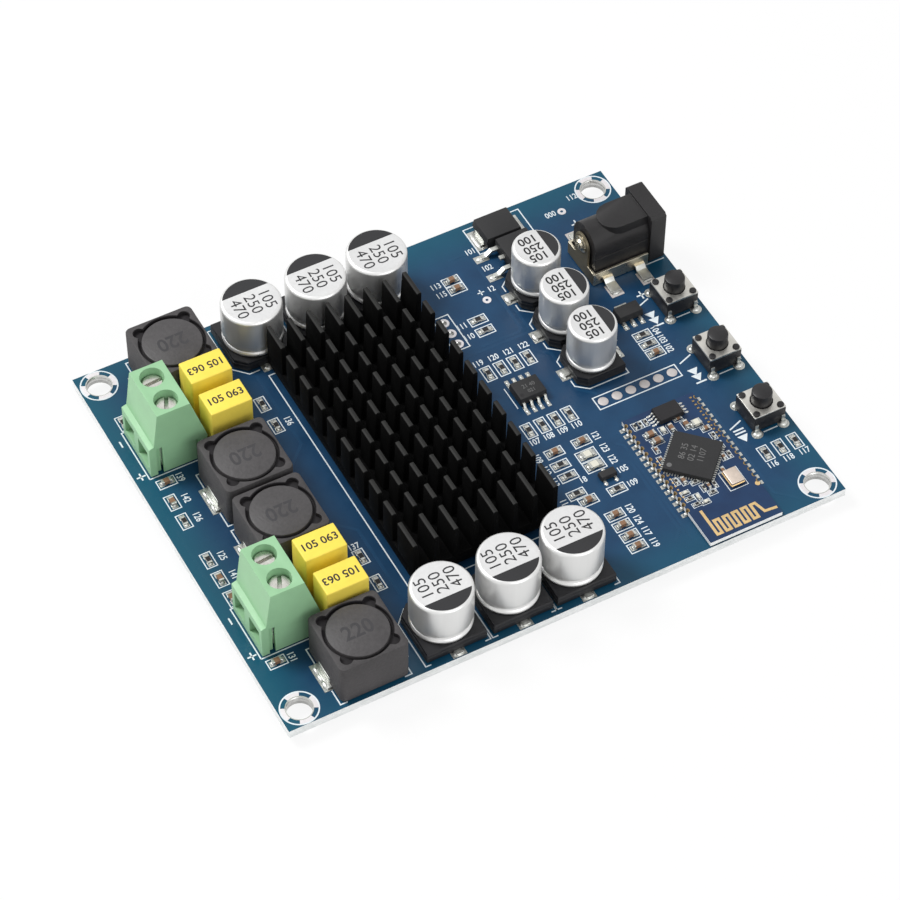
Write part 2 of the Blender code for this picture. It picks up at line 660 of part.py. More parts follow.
def inductor(name, x, y):
    """Square shield round a drum core: ring groove, corner notches, side lugs."""
    mesh = outline(rounded_plan(IND_W, IND_W, IND_ROUND, 3), IND_H, "XY")
    mesh.transform(shift(x, y, SEAT_Z + IND_H / 2))
    obj = place(mesh, name, "ferrite")
    floor = SEAT_Z + IND_H - IND_GROOVE_D
    high = IND_GROOVE_D + MM
    ring = place(rods([(x, y, floor, IND_CORE_R + IND_GROOVE, IND_CORE_R + IND_GROOVE, high)], 20),
                 name + "_ring", "ferrite")
    cut(ring, rods([(x, y, floor - MM, IND_CORE_R, IND_CORE_R, high + 2 * MM)], 20), "core")
    ready = ring.evaluated_get(bpy.context.evaluated_depsgraph_get())
    groove = bpy.data.meshes.new_from_object(ready)
    drop_tools(ring)
    cut(obj, groove, "groove")
    reach = IND_CORE_R + IND_GROOVE
    notches = []
    for k in range(4):
        turn = math.radians(45 + 90 * k)
        notches.append((x + reach * math.cos(turn), y + reach * math.sin(turn), floor,
                        1.3 * MM, 1.7 * MM, high, turn))
    cut(obj, blocks(notches), "notches")
    lugs = [(x + s * (IND_W / 2 - 0.6 * MM + IND_LUG_OUT / 2), y, SEAT_Z, 1.2 * MM + IND_LUG_OUT,
             IND_LUG_W, 0.3 * MM) for s in (-1, 1)]
    join(obj, blocks(lugs), "lugs")
    return obj


def drop_tools(obj):
    """Remove a helper part together with the solids that shaped it."""
    tools = [mod.object for mod in obj.modifiers if mod.type == "BOOLEAN"]
    bpy.data.objects.remove(obj, do_unlink=True)
    for tool in tools:
        bpy.data.objects.remove(tool, do_unlink=True)


def film_capacitor(name, y):
    mesh = blocks([(0, 0, 0, FILM_L, FILM_W, FILM_H - SEAT)])
    obj = place(mesh, name, "yellow", (FILM_X, y, SEAT_Z))
    bevel(obj, FILM_ROUND, 2)
    return obj


def terminal(index, y):
    """Two-way rising cage terminal, with its screws and cages."""
    front = TERM_FRONT
    back = TERM_FRONT + TERM_DEPTH
    top_front = front + TERM_TOP_IN
    profile = [(front, SEAT), (back, SEAT), (back, TERM_BACK_Z), (top_front + TERM_TOP_D, TERM_H),
               (top_front, TERM_H), (front + TERM_LEDGE, TERM_LEDGE_Z + 0.3 * MM), (front, TERM_LEDGE_Z)]
    mesh = outline(profile, TERM_L, "XZ")
    mesh.transform(shift(0, y, TOP))
    obj = place(mesh, "terminal_housing_%d" % index, "green")
    rib = [(front + 1.75 * MM, y + TERM_L / 2, TOP + SEAT, 0.7 * MM, 0.7 * MM, TERM_LEDGE_Z - 0.8 * MM)]
    join(obj, blocks(rib), "rib")
    grooves = [(front + 1.75 * MM, y - TERM_L / 2, TOP - MM, 1.0 * MM, 1.1 * MM, TERM_LEDGE_Z + 0.6 * MM),
               (back - 1.6 * MM, y - TERM_L / 2, TOP - MM, 0.8 * MM, 1.1 * MM, TERM_BACK_Z + 0.7 * MM)]
    cut(obj, blocks(grooves), "grooves")
    cavities = []
    entries = []
    heads = []
    shanks = []
    bars = []
    room_x = CAGE_L + 2 * SLIP
    room_y = CAGE_W + 2 * SLIP
    for side in (-1, 1):
        py = y + side * TERM_PITCH / 2
        cavities.append((SCREW_X, py, TOP - MM, room_x, room_y, SHOULDER_Z - SHOULDER_T + MM))
        entries.append(((front + SCREW_X) / 2 - MM, py, TOP + ENTRY_Z, SCREW_X - front + 2 * MM, ENTRY_W, ENTRY_H))
        heads.append((SCREW_X, py, TOP + SHOULDER_Z, SCREW_HEAD_R + SLIP, SCREW_HEAD_R + SLIP, TERM_H))
        shanks.append((SCREW_X, py, TOP + TERM_LEDGE_Z, SCREW_SHANK_R + SLIP, SCREW_SHANK_R + SLIP, TERM_LEDGE_Z))
        bars.append((SCREW_X, py, TOP + BAR_Z, room_x + 1.0 * MM, BAR_W, BAR_T))
        screw(index, side, py)
        cage(index, side, py)
    cut(obj, blocks(cavities), "cage_rooms")
    cut(obj, blocks(entries), "wire_entries")
    cut(obj, rods(heads, 20), "screw_wells")
    cut(obj, rods(shanks, 16), "shank_holes")
    join(obj, blocks(bars), "contact_bars")
    return obj


def pole_name(index, side):
    return index * 2 - (1 if side > 0 else 0)


def screw(index, side, py):
    """Slotted clamping screw, its origin on its axis at the shoulder."""
    tip = -SCREW_SHANK_L
    head = SCREW_HEAD_H + SEAT
    profile = [(0.0, head), (SCREW_HEAD_R - 0.25 * MM, head), (SCREW_HEAD_R, head - 0.25 * MM),
               (SCREW_HEAD_R, SEAT), (SCREW_SHANK_R, SEAT), (SCREW_SHANK_R, tip), (0.0, tip)]
    obj = turned("terminal_screw_%d" % pole_name(index, side), "steel", profile,
                 (SCREW_X, py, TOP + SHOULDER_Z), 16)
    slot = [(SCREW_X, py, TOP + SHOULDER_Z + head - SCREW_SLOT_D, 4 * SCREW_HEAD_R, SCREW_SLOT_W, 2 * MM,
             math.radians(65 if side < 0 else 5))]
    cut(obj, blocks(slot), "slot")
    return obj


def cage(index, side, py):
    """Clamping cage that the screw draws up round the contact bar."""
    z = TOP + CAGE_Z
    mesh = blocks([(0, 0, 0, CAGE_L, CAGE_W, CAGE_H)])
    obj = place(mesh, "clamp_cage_%d" % pole_name(index, side), "steel", (SCREW_X, py, z))
    window = [(SCREW_X, py, z + CAGE_FLOOR_T, CAGE_L + 2 * MM, CAGE_W - 2 * CAGE_WALL,
               CAGE_H - CAGE_FLOOR_T - CAGE_TOP_T)]
    cut(obj, blocks(window), "window")
    thread = [(SCREW_X, py, z + CAGE_H / 2, SCREW_SHANK_R + SLIP, SCREW_SHANK_R + SLIP, CAGE_H)]
    cut(obj, rods(thread, 16), "thread_hole")
    return obj


def dc_socket():
    """Barrel socket: moulded housing, metal shell with tabs, centre pin."""
    z = SEAT_Z + JACK_SHELL_T + SEAT
    rear = JACK_FRONT - JACK_LEN
    body_rear = rear + JACK_SHELL_T + SEAT
    flange_back = JACK_FRONT - JACK_FLANGE_T
    axis = TOP + JACK_AXIS_Z
    inner_w = JACK_W - 2 * (JACK_SHELL_T + SEAT)
    flange = outline(rounded_plan(JACK_W, JACK_H - SEAT, 0.5 * MM, 2), JACK_FLANGE_T, "YZ")
    flange.transform(shift(JACK_FRONT - JACK_FLANGE_T / 2, JACK_Y, SEAT_Z + (JACK_H - SEAT) / 2))
    obj = place(flange, "jack_housing", "black_plastic")
    length = flange_back - body_rear
    box = [((body_rear + flange_back + SINK) / 2, JACK_Y, z, length + SINK, inner_w,
            TOP + JACK_BOX_H - z)]
    join(obj, blocks(box), "lower_box")
    barrel = rods([(body_rear, JACK_Y, axis, JACK_BARREL_R, JACK_BARREL_R, length + SINK)], 24, "X")
    join(obj, barrel, "barrel")
    reach = JACK_BOSS_X - JACK_FLANGE_T + SINK
    plan = arc(0, 0, JACK_BOSS_R, 90, 270, 9) + [(reach, -JACK_BOSS_R), (reach, JACK_BOSS_R)]
    rise = JACK_BOSS_Z - JACK_AXIS_Z
    boss = outline(plan, rise)
    boss.transform(shift(JACK_FRONT - JACK_BOSS_X, JACK_Y, axis + rise / 2))
    join(obj, boss, "spring_boss")
    bore = rods([(JACK_FRONT - JACK_BORE_D, JACK_Y, axis, JACK_BORE_R, JACK_BORE_R, JACK_BORE_D + MM)], 20, "X")
    cut(obj, bore, "plug_bore")
    channel = rods([(body_rear - MM, JACK_Y, axis, JACK_PIN_R + SEAT, JACK_PIN_R + SEAT, JACK_LEN / 2)], 12, "X")
    cut(obj, channel, "pin_hole")
    w = JACK_W / 2
    t = JACK_SHELL_T
    trough = [(-w, 0.0), (w, 0.0), (w, JACK_SKIRT_H), (w - t, JACK_SKIRT_H), (w - t, t), (-w + t, t),
              (-w + t, JACK_SKIRT_H), (-w, JACK_SKIRT_H)]
    shell_len = flange_back - SEAT - rear
    shell_mesh = outline(trough, shell_len, "YZ")
    shell_mesh.transform(shift(rear + shell_len / 2, JACK_Y, SEAT_Z))
    shell = place(shell_mesh, "jack_shell", "tin")
    wall = [(rear + t / 2, JACK_Y, SEAT_Z + t / 2, t, JACK_W - t, JACK_SKIRT_H - t / 2)]
    join(shell, blocks(wall), "rear_wall")
    tongue = [(-JACK_TONGUE_W / 2, 0.0), (JACK_TONGUE_W / 2, 0.0)]
    tongue += arc(0, JACK_AXIS_Z - SEAT - t / 2, JACK_TONGUE_W / 2, 0, 180, 9)
    tongue_mesh = outline(tongue, t, "YZ")
    tongue_mesh.transform(shift(rear + t / 2, JACK_Y, SEAT_Z + t / 2))
    join(shell, tongue_mesh, "rear_tongue")
    root = MM
    side = [(-t / 2, root), (0.3 * MM, root), (0.9 * MM, t), (JACK_TAB_OUT, t), (JACK_TAB_OUT, 0.0),
            (0.7 * MM, 0.0), (0.1 * MM, root - t), (-t / 2, root - t)]
    frames = [shift(rear + x, JACK_Y + sy * w, SEAT_Z, math.pi / 2 * sy)
              for sy in (-1, 1) for x in JACK_TAB_X]
    join(shell, moved(outline(side, JACK_TAB_W, "XZ"), *frames), "solder_tabs")
    eye = rods([(rear - MM, JACK_Y, axis, JACK_PIN_R * 0.7 + SLIP, JACK_PIN_R * 0.7 + SLIP, 3 * MM)], 10, "X")
    cut(shell, eye, "rivet_eye")
    pin_len = JACK_LEN - 2.2 * MM
    start = body_rear + SEAT
    pin_mesh = rods([(start, JACK_Y, axis, JACK_PIN_R, JACK_PIN_R, pin_len - (start - rear))], 12, "X")
    pin = place(pin_mesh, "jack_pin", "tin")
    neck = rods([(rear - 0.3 * MM, JACK_Y, axis, JACK_PIN_R * 0.7, JACK_PIN_R * 0.7, 2 * MM)], 10, "X")
    join(pin, neck, "neck")
    rivet = rods([(rear - 0.65 * MM, JACK_Y, axis, JACK_PIN_R * 0.8, JACK_PIN_R * 1.05, 0.45 * MM)], 10, "X")
    join(pin, rivet, "rivet_head")


def push_button(index, y):
    """Tactile switch: moulded body, riveted cover plate and round stem."""
    base = SEAT_Z
    w = KEY_W
    body_mesh = blocks([(KEY_X, y, base, w, w, KEY_BODY_H - SEAT)])
    body = place(body_mesh, "switch_body_%d" % index, "black_plastic")
    plate_z = TOP + KEY_BODY_H + SLIP
    pegs = [(KEY_X + sx * KEY_PEG, y + sy * KEY_PEG) for sx in (-1, 1) for sy in (-1, 1)]
    stems = [(px, py, TOP + KEY_BODY_H - SINK, KEY_PEG_R, KEY_PEG_R, KEY_COVER_T + 2 * SLIP + 2 * SINK)
             for px, py in pegs]
    join(body, rods(stems, 6), "pegs")
    head_z = plate_z + KEY_COVER_T + SLIP
    heads = [(px, py, head_z, KEY_HEAD_R, KEY_HEAD_R * 0.8, 0.22 * MM) for px, py in pegs]
    join(body, rods(heads, 6), "rivet_heads")
    well_r = KEY_FLANGE_R + SLIP
    well_d = KEY_FLANGE_T + KEY_TRAVEL + 2 * SLIP
    well = rods([(KEY_X, y, TOP + KEY_BODY_H - well_d, well_r, well_r, well_d + MM)], 16)
    cut(body, well, "stem_well")
    legs = []
    for sx in (-1, 1):
        for sy in (-1, 1):
            legs.append((KEY_X + sx * KEY_LEG_X, y + sy * (w / 2 + 0.1 * MM), base, 0.7 * MM, 0.5 * MM, 1.2 * MM))
    join(body, blocks(legs), "legs")
    cover_mesh = blocks([(KEY_X, y, plate_z, w - 0.1 * MM, w - 0.1 * MM, KEY_COVER_T)])
    cover = place(cover_mesh, "switch_cover_%d" % index, "steel")
    openings = rods([(KEY_X, y, plate_z - MM, KEY_STEM_R + SLIP, KEY_STEM_R + SLIP, 3 * MM)], 16)
    cut(cover, openings, "stem_hole")
    peg_r = KEY_PEG_R + SLIP / 2
    cut(cover, rods([(px, py, plate_z - MM, peg_r, peg_r, 3 * MM) for px, py in pegs], 6), "peg_holes")
    foot = KEY_BODY_H - KEY_FLANGE_T
    top = KEY_TOTAL_H - foot
    profile = [(0.0, top), (KEY_STEM_R - 0.25 * MM, top), (KEY_STEM_R, top - 0.25 * MM),
               (KEY_STEM_R, KEY_FLANGE_T), (KEY_FLANGE_R, KEY_FLANGE_T), (KEY_FLANGE_R, 0.0), (0.0, 0.0)]
    turned("button_%d" % index, "black_plastic", profile, (KEY_X, y, TOP + foot), 16)


def power_parts():
    slope = 0.35 * MM
    side = [(-DIODE_L / 2 + slope, DIODE_H), (-DIODE_L / 2, DIODE_H / 2), (-DIODE_L / 2 + slope, 0.1 * MM),
            (DIODE_L / 2 - slope, 0.1 * MM), (DIODE_L / 2, DIODE_H / 2), (DIODE_L / 2 - slope, DIODE_H)]
    mesh = outline(side, DIODE_W, "XZ")
    mesh.transform(shift(DIODE_X, DIODE_Y, SEAT_Z))
    diode = place(mesh, "power_diode", "black_plastic")
    straps = [(DIODE_X + s * (DIODE_L / 2 - 0.2 * MM), DIODE_Y, SEAT_Z, 1.5 * MM, 3.0 * MM, 0.3 * MM)
              for s in (-1, 1)]
    join(diode, blocks(straps), "terminals")
    body = blocks([(0, 0, 0.1 * MM, REG_L, REG_W, REG_H - 0.1 * MM)])
    body.transform(shift(REG_X, REG_Y, SEAT_Z))
    reg = place(body, "voltage_regulator", "black_plastic")
    lead = gull_lead(4.3 * MM, 1.3 * MM, 0.9 * MM, 0.5 * MM)
    arms = moved(outline(lead, 0.8 * MM, "XZ"),
                 *[shift(-REG_L / 2, s * REG_LEAD, 0.0, math.pi) for s in (-1, 1)])
    arms.transform(shift(REG_X, REG_Y, SEAT_Z))
    join(reg, arms, "leads")
    tab = [(REG_X + REG_L / 2 + 0.2 * MM, REG_Y, SEAT_Z, 2.0 * MM, 5.3 * MM, 0.5 * MM),
           (REG_X - REG_L / 2, REG_Y, SEAT_Z + 0.8 * MM, 1.6 * MM, 0.8 * MM, 0.5 * MM)]
    join(reg, blocks(tab), "tab")


def chips():
    amp_body = blocks([(SINK_X, SINK_Y, SEAT_Z + 0.1 * MM, AMP_W, AMP_L, AMP_T)])
    amp = place(amp_body, "amplifier_chip", "black_plastic")
    feet = [(SINK_X + s * (AMP_W / 2 + 0.4 * MM), SINK_Y + (i - (AMP_LEADS - 1) / 2) * AMP_PITCH, SEAT_Z,
             MM, AMP_PITCH * 0.4, 0.3 * MM) for s in (-1, 1) for i in range(AMP_LEADS)]
    join(amp, blocks(feet), "leads")
    chip("preamp_chip", PREAMP_X, PREAMP_Y, SEAT_Z, 4.9 * MM, 3.9 * MM, 1.45 * MM, 4, 1.27 * MM, 1.1 * MM,
         math.pi / 2)
    body = blocks([(LDO_X, LDO_Y, SEAT_Z, 4.5 * MM, 2.5 * MM, 1.5 * MM)])
    ldo = place(body, "linear_regulator", "black_plastic")
    legs = [(LDO_X + i * 1.5 * MM, LDO_Y - 1.6 * MM, SEAT_Z, 0.45 * MM, 1.0 * MM, 0.4 * MM) for i in (-1, 0, 1)]
    legs.append((LDO_X, LDO_Y + 1.5 * MM, SEAT_Z, 1.7 * MM, 0.9 * MM, 0.4 * MM))
    join(ldo, blocks(legs), "leads")


def wireless_module():
    y0 = -BOARD_W / 2 + MOD_EDGE
    centre_y = y0 + MOD_L / 2
    mesh = blocks([(MOD_X, centre_y, SEAT_Z, MOD_W, MOD_L, MOD_T)])
    board = place(mesh, "wireless_module", "board")
    scallops = []
    for side in (-1, 1):
        for i in range(MOD_PADS):
            y = y0 + MOD_L - MOD_FIRST - i * MOD_PITCH
            scallops.append((MOD_X + side * MOD_W / 2, y, SEAT_Z - MM, 0.3 * MM, 0.3 * MM, 3 * MM))
    cut(board, rods(scallops, 4), "castellations")
    top = SEAT_Z + MOD_T + SEAT
    chip_body = blocks([(MOD_X - 0.45 * MM, centre_y + 1.95 * MM, top, MOD_CHIP_W, MOD_CHIP_W, MOD_CHIP_T,
                         math.radians(45))])
    bevel(place(chip_body, "radio_chip", "black_plastic"), 0.12 * MM, 1)
    mx = MOD_X + 0.6 * MM
    my = y0 + MOD_L - 2.15 * MM
    memory = place(blocks([(mx, my, top, 4.4 * MM, 3.0 * MM, MM)]), "memory_chip", "black_plastic")
    feet = [(mx + s * 2.5 * MM, my + (i - 1.5) * 0.65 * MM, top, 1.2 * MM, 0.25 * MM, 0.25 * MM)
            for s in (-1, 1) for i in range(4)]
    join(memory, blocks(feet), "leads")
    crystal = blocks([(MOD_X + 3.1 * MM, centre_y - 4.45 * MM, top, 2.5 * MM, 3.2 * MM, 0.75 * MM)])
    lid = place(crystal, "crystal", "steel")
    bevel(lid, 0.15 * MM, 1)


def build():
    clear_scene()
    collection(PARTS)
    collection(CUTTERS)
    circuit_board()
    heatsink(SEAT_Z + 0.1 * MM + AMP_T + SEAT)
    electrolytics()
    for i, y in enumerate(IND_Y):
        inductor("inductor_%d" % (i + 1), IND_X, y)
    for i, y in enumerate(FILM_Y):
        film_capacitor("film_capacitor_%d" % (i + 1), y)
    for i, y in enumerate(TERM_Y):
        terminal(i + 1, y)
    dc_socket()
    for i, y in enumerate(KEY_Y):
        push_button(i + 1, y)
    power_parts()
    chips()
    wireless_module()
    bpy.context.view_layer.update()


build()
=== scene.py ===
import math

import bmesh
import bpy
from mathutils import Matrix, Vector

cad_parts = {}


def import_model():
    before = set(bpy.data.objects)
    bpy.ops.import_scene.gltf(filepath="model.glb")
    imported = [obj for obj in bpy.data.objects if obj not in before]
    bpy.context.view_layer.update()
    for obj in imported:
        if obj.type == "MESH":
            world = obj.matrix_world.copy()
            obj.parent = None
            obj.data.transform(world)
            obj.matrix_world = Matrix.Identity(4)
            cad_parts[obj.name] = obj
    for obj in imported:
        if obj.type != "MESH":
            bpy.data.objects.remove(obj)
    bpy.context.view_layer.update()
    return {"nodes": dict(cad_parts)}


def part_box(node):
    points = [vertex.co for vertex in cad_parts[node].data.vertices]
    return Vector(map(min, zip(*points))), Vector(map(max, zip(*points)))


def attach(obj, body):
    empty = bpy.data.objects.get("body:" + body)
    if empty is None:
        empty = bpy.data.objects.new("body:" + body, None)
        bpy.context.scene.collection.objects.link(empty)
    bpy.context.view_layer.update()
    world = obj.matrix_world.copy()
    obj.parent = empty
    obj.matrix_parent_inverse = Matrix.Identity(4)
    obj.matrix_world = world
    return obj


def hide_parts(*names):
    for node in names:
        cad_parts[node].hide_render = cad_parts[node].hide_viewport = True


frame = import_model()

MM = 0.001
QUARTER = math.pi / 2


class Place:
    """A CAD node's box, in millimetres."""

    def __init__(self, node):
        low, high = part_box(node)
        self.x0, self.y0, self.z0 = (c / MM for c in low)
        self.x1, self.y1, self.z1 = (c / MM for c in high)
        self.x = (self.x0 + self.x1) / 2
        self.y = (self.y0 + self.y1) / 2
        self.long = self.x1 - self.x0
        self.wide = self.y1 - self.y0
        self.high = self.z1 - self.z0


# Places and sizes that many functions share. TOP and UNDER are the board's faces,
# SEAT is where a soldered piece stands; PITCH is that of the chips' leads, POLE half
# the terminals' pitch, TAIL half the film capacitors', LEG the switches' legs.
BOARD = Place("circuit_board")
SINK = Place("heatsink")
MODULE = Place("wireless_module")
FILMS = [Place("film_capacitor_%d" % i) for i in range(1, 5)]
INDUCTORS = [Place("inductor_%d" % i) for i in range(1, 5)]
KEYS = [Place("switch_cover_%d" % i) for i in range(1, 4)]
TERMINALS = [Place("terminal_housing_%d" % i) for i in (1, 2)]
BIG_CANS = [Place("output_capacitor_%d_can" % i) for i in range(1, 7)]
SMALL_CANS = [Place("input_capacitor_%d_can" % i) for i in range(1, 4)]
PREAMP = Place("preamp_chip")
REGULATOR = Place("linear_regulator")
JACK = Place("jack_housing")
SEAT = MODULE.z0
TOP = SEAT - 0.2
UNDER = TOP - 1.6
FILM = 0.02
PAD_T = 0.06
PITCH = 1.27
POLE = 2.5
TAIL = 2.5
LEG_X, LEG_Y = 2.4, 3.25
HOLE_R = 2.05
HOLE_X = BOARD.x1 - 3.28
HOLE_Y = BOARD.y1 - 3.1
HOLES = [(sx * HOLE_X, sy * HOLE_Y) for sx in (-1, 1) for sy in (-1, 1)]
VIA_R = 0.5
VIAS = [(SINK.x1 + 4.22, 21.0 - 2.46 * i) for i in range(3)]
FAR_ROW = BIG_CANS[0].y
NEAR_ROW = BIG_CANS[3].y
ROW_END = BIG_CANS[2].x + 5.15
TERM_Y = [t.y0 + 5.0 for t in TERMINALS]
REGULATOR_Y = REGULATOR.y1 - 1.95
HEADER_Y = -5.27
HEADER = [23.96 + 2.534 * i for i in range(6)]


# Materials
def rgb(r, g, b):
    """Linear colour of an 8-bit display colour."""
    out = []
    for c in (r, g, b):
        c /= 255
        out.append(c / 12.92 if c <= 0.04045 else ((c + 0.055) / 1.055) ** 2.4)
    return tuple(out)


def node(tree, kind, inputs=(), **settings):
    """A shader node. An input takes a value, or a link where a socket is given."""
    made = tree.nodes.new(kind)
    for name, value in settings.items():
        setattr(made, name, value)
    for name, value in dict(inputs).items():
        if isinstance(value, bpy.types.NodeSocket):
            tree.links.new(value, made.inputs[name])
        else:
            made.inputs[name].default_value = value
    return made


def material(name, colour, rough, metal, scale, vary, bump, specular, rough_vary=0.08, stretch=(1, 1, 1),
             light=None, fine=None):
    """A surface with its own grain: colour, roughness and relief follow noise in
    the object's space. Colours are given as 8-bit display colours."""
    mat = bpy.data.materials.new(name)
    mat.use_nodes = True
    tree = mat.node_tree
    coord = node(tree, "ShaderNodeTexCoord")
    mapping = node(tree, "ShaderNodeMapping", {"Vector": coord.outputs["Object"], "Scale": stretch})

    def noise(size, detail):
        inputs = {"Vector": mapping.outputs["Vector"], "Scale": size, "Detail": detail}
        return node(tree, "ShaderNodeTexNoise", inputs).outputs["Fac"]

    grain = noise(scale, 5)
    broad = noise(scale * 0.11, 2)
    blend = node(tree, "ShaderNodeMix", {0: 0.45, 2: grain, 3: broad}, data_type="FLOAT").outputs[0]
    ramp = node(tree, "ShaderNodeValToRGB", {"Fac": blend})
    middle = rgb(*colour)
    pale = rgb(*light) if light else [min(c * (1 + vary), 1.0) for c in middle]
    ends = ((0.32, [c * (1 - vary) for c in middle]), (0.68, pale))
    for stop, (position, shade) in zip(ramp.color_ramp.elements, ends):
        stop.position = position
        stop.color = (*shade, 1)
    spread = node(tree, "ShaderNodeMapRange", {
        "Value": blend, "From Min": 0.3, "From Max": 0.7,
        "To Min": max(rough - rough_vary, 0.02), "To Max": min(rough + rough_vary, 1.0)})
    relief = node(tree, "ShaderNodeBump", {
        "Height": noise(fine, 3) if fine else grain, "Strength": bump, "Distance": 0.0001})
    shader = tree.nodes["Principled BSDF"]
    shader.inputs["Metallic"].default_value = metal
    shader.inputs["Specular IOR Level"].default_value = specular
    tree.links.new(ramp.outputs["Color"], shader.inputs["Base Color"])
    tree.links.new(spread.outputs["Result"], shader.inputs["Roughness"])
    tree.links.new(relief.outputs["Normal"], shader.inputs["Normal"])
    return mat


def paint_border_sheen(mat, sheen_colour, reach=9.0):
    """Shifts the colour of a board material towards a teal colour near the board's borders: a painted
    reflection, a sheen strongest at the left and far edges.
    """
    tree = mat.node_tree
    shader = tree.nodes["Principled BSDF"]
    plain = shader.inputs["Base Color"].links[0].from_socket
    split = node(tree, "ShaderNodeSeparateXYZ", {0: node(tree, "ShaderNodeTexCoord").outputs["Object"]})
    share = 0.0
    for axis, edge, inward, most in (("X", BOARD.x0, 1, 1.0), ("X", BOARD.x1, -1, 0.6),
                                     ("Y", BOARD.y1, -1, 0.8), ("Y", BOARD.y0, 1, 0.5)):
        fade = node(tree, "ShaderNodeMapRange", {
            "Value": split.outputs[axis], "From Min": edge * MM, "From Max": (edge + inward * reach) * MM,
            "To Min": most, "To Max": 0.0}, interpolation_type="SMOOTHSTEP")
        larger = node(tree, "ShaderNodeMath", {0: share, 1: fade.outputs["Result"]}, operation="MAXIMUM")
        share = larger.outputs[0]
    mix = node(tree, "ShaderNodeMix", {0: share, 6: plain, 7: (*rgb(*sheen_colour), 1)}, data_type="RGBA")
    tree.links.new(mix.outputs[2], shader.inputs["Base Color"])


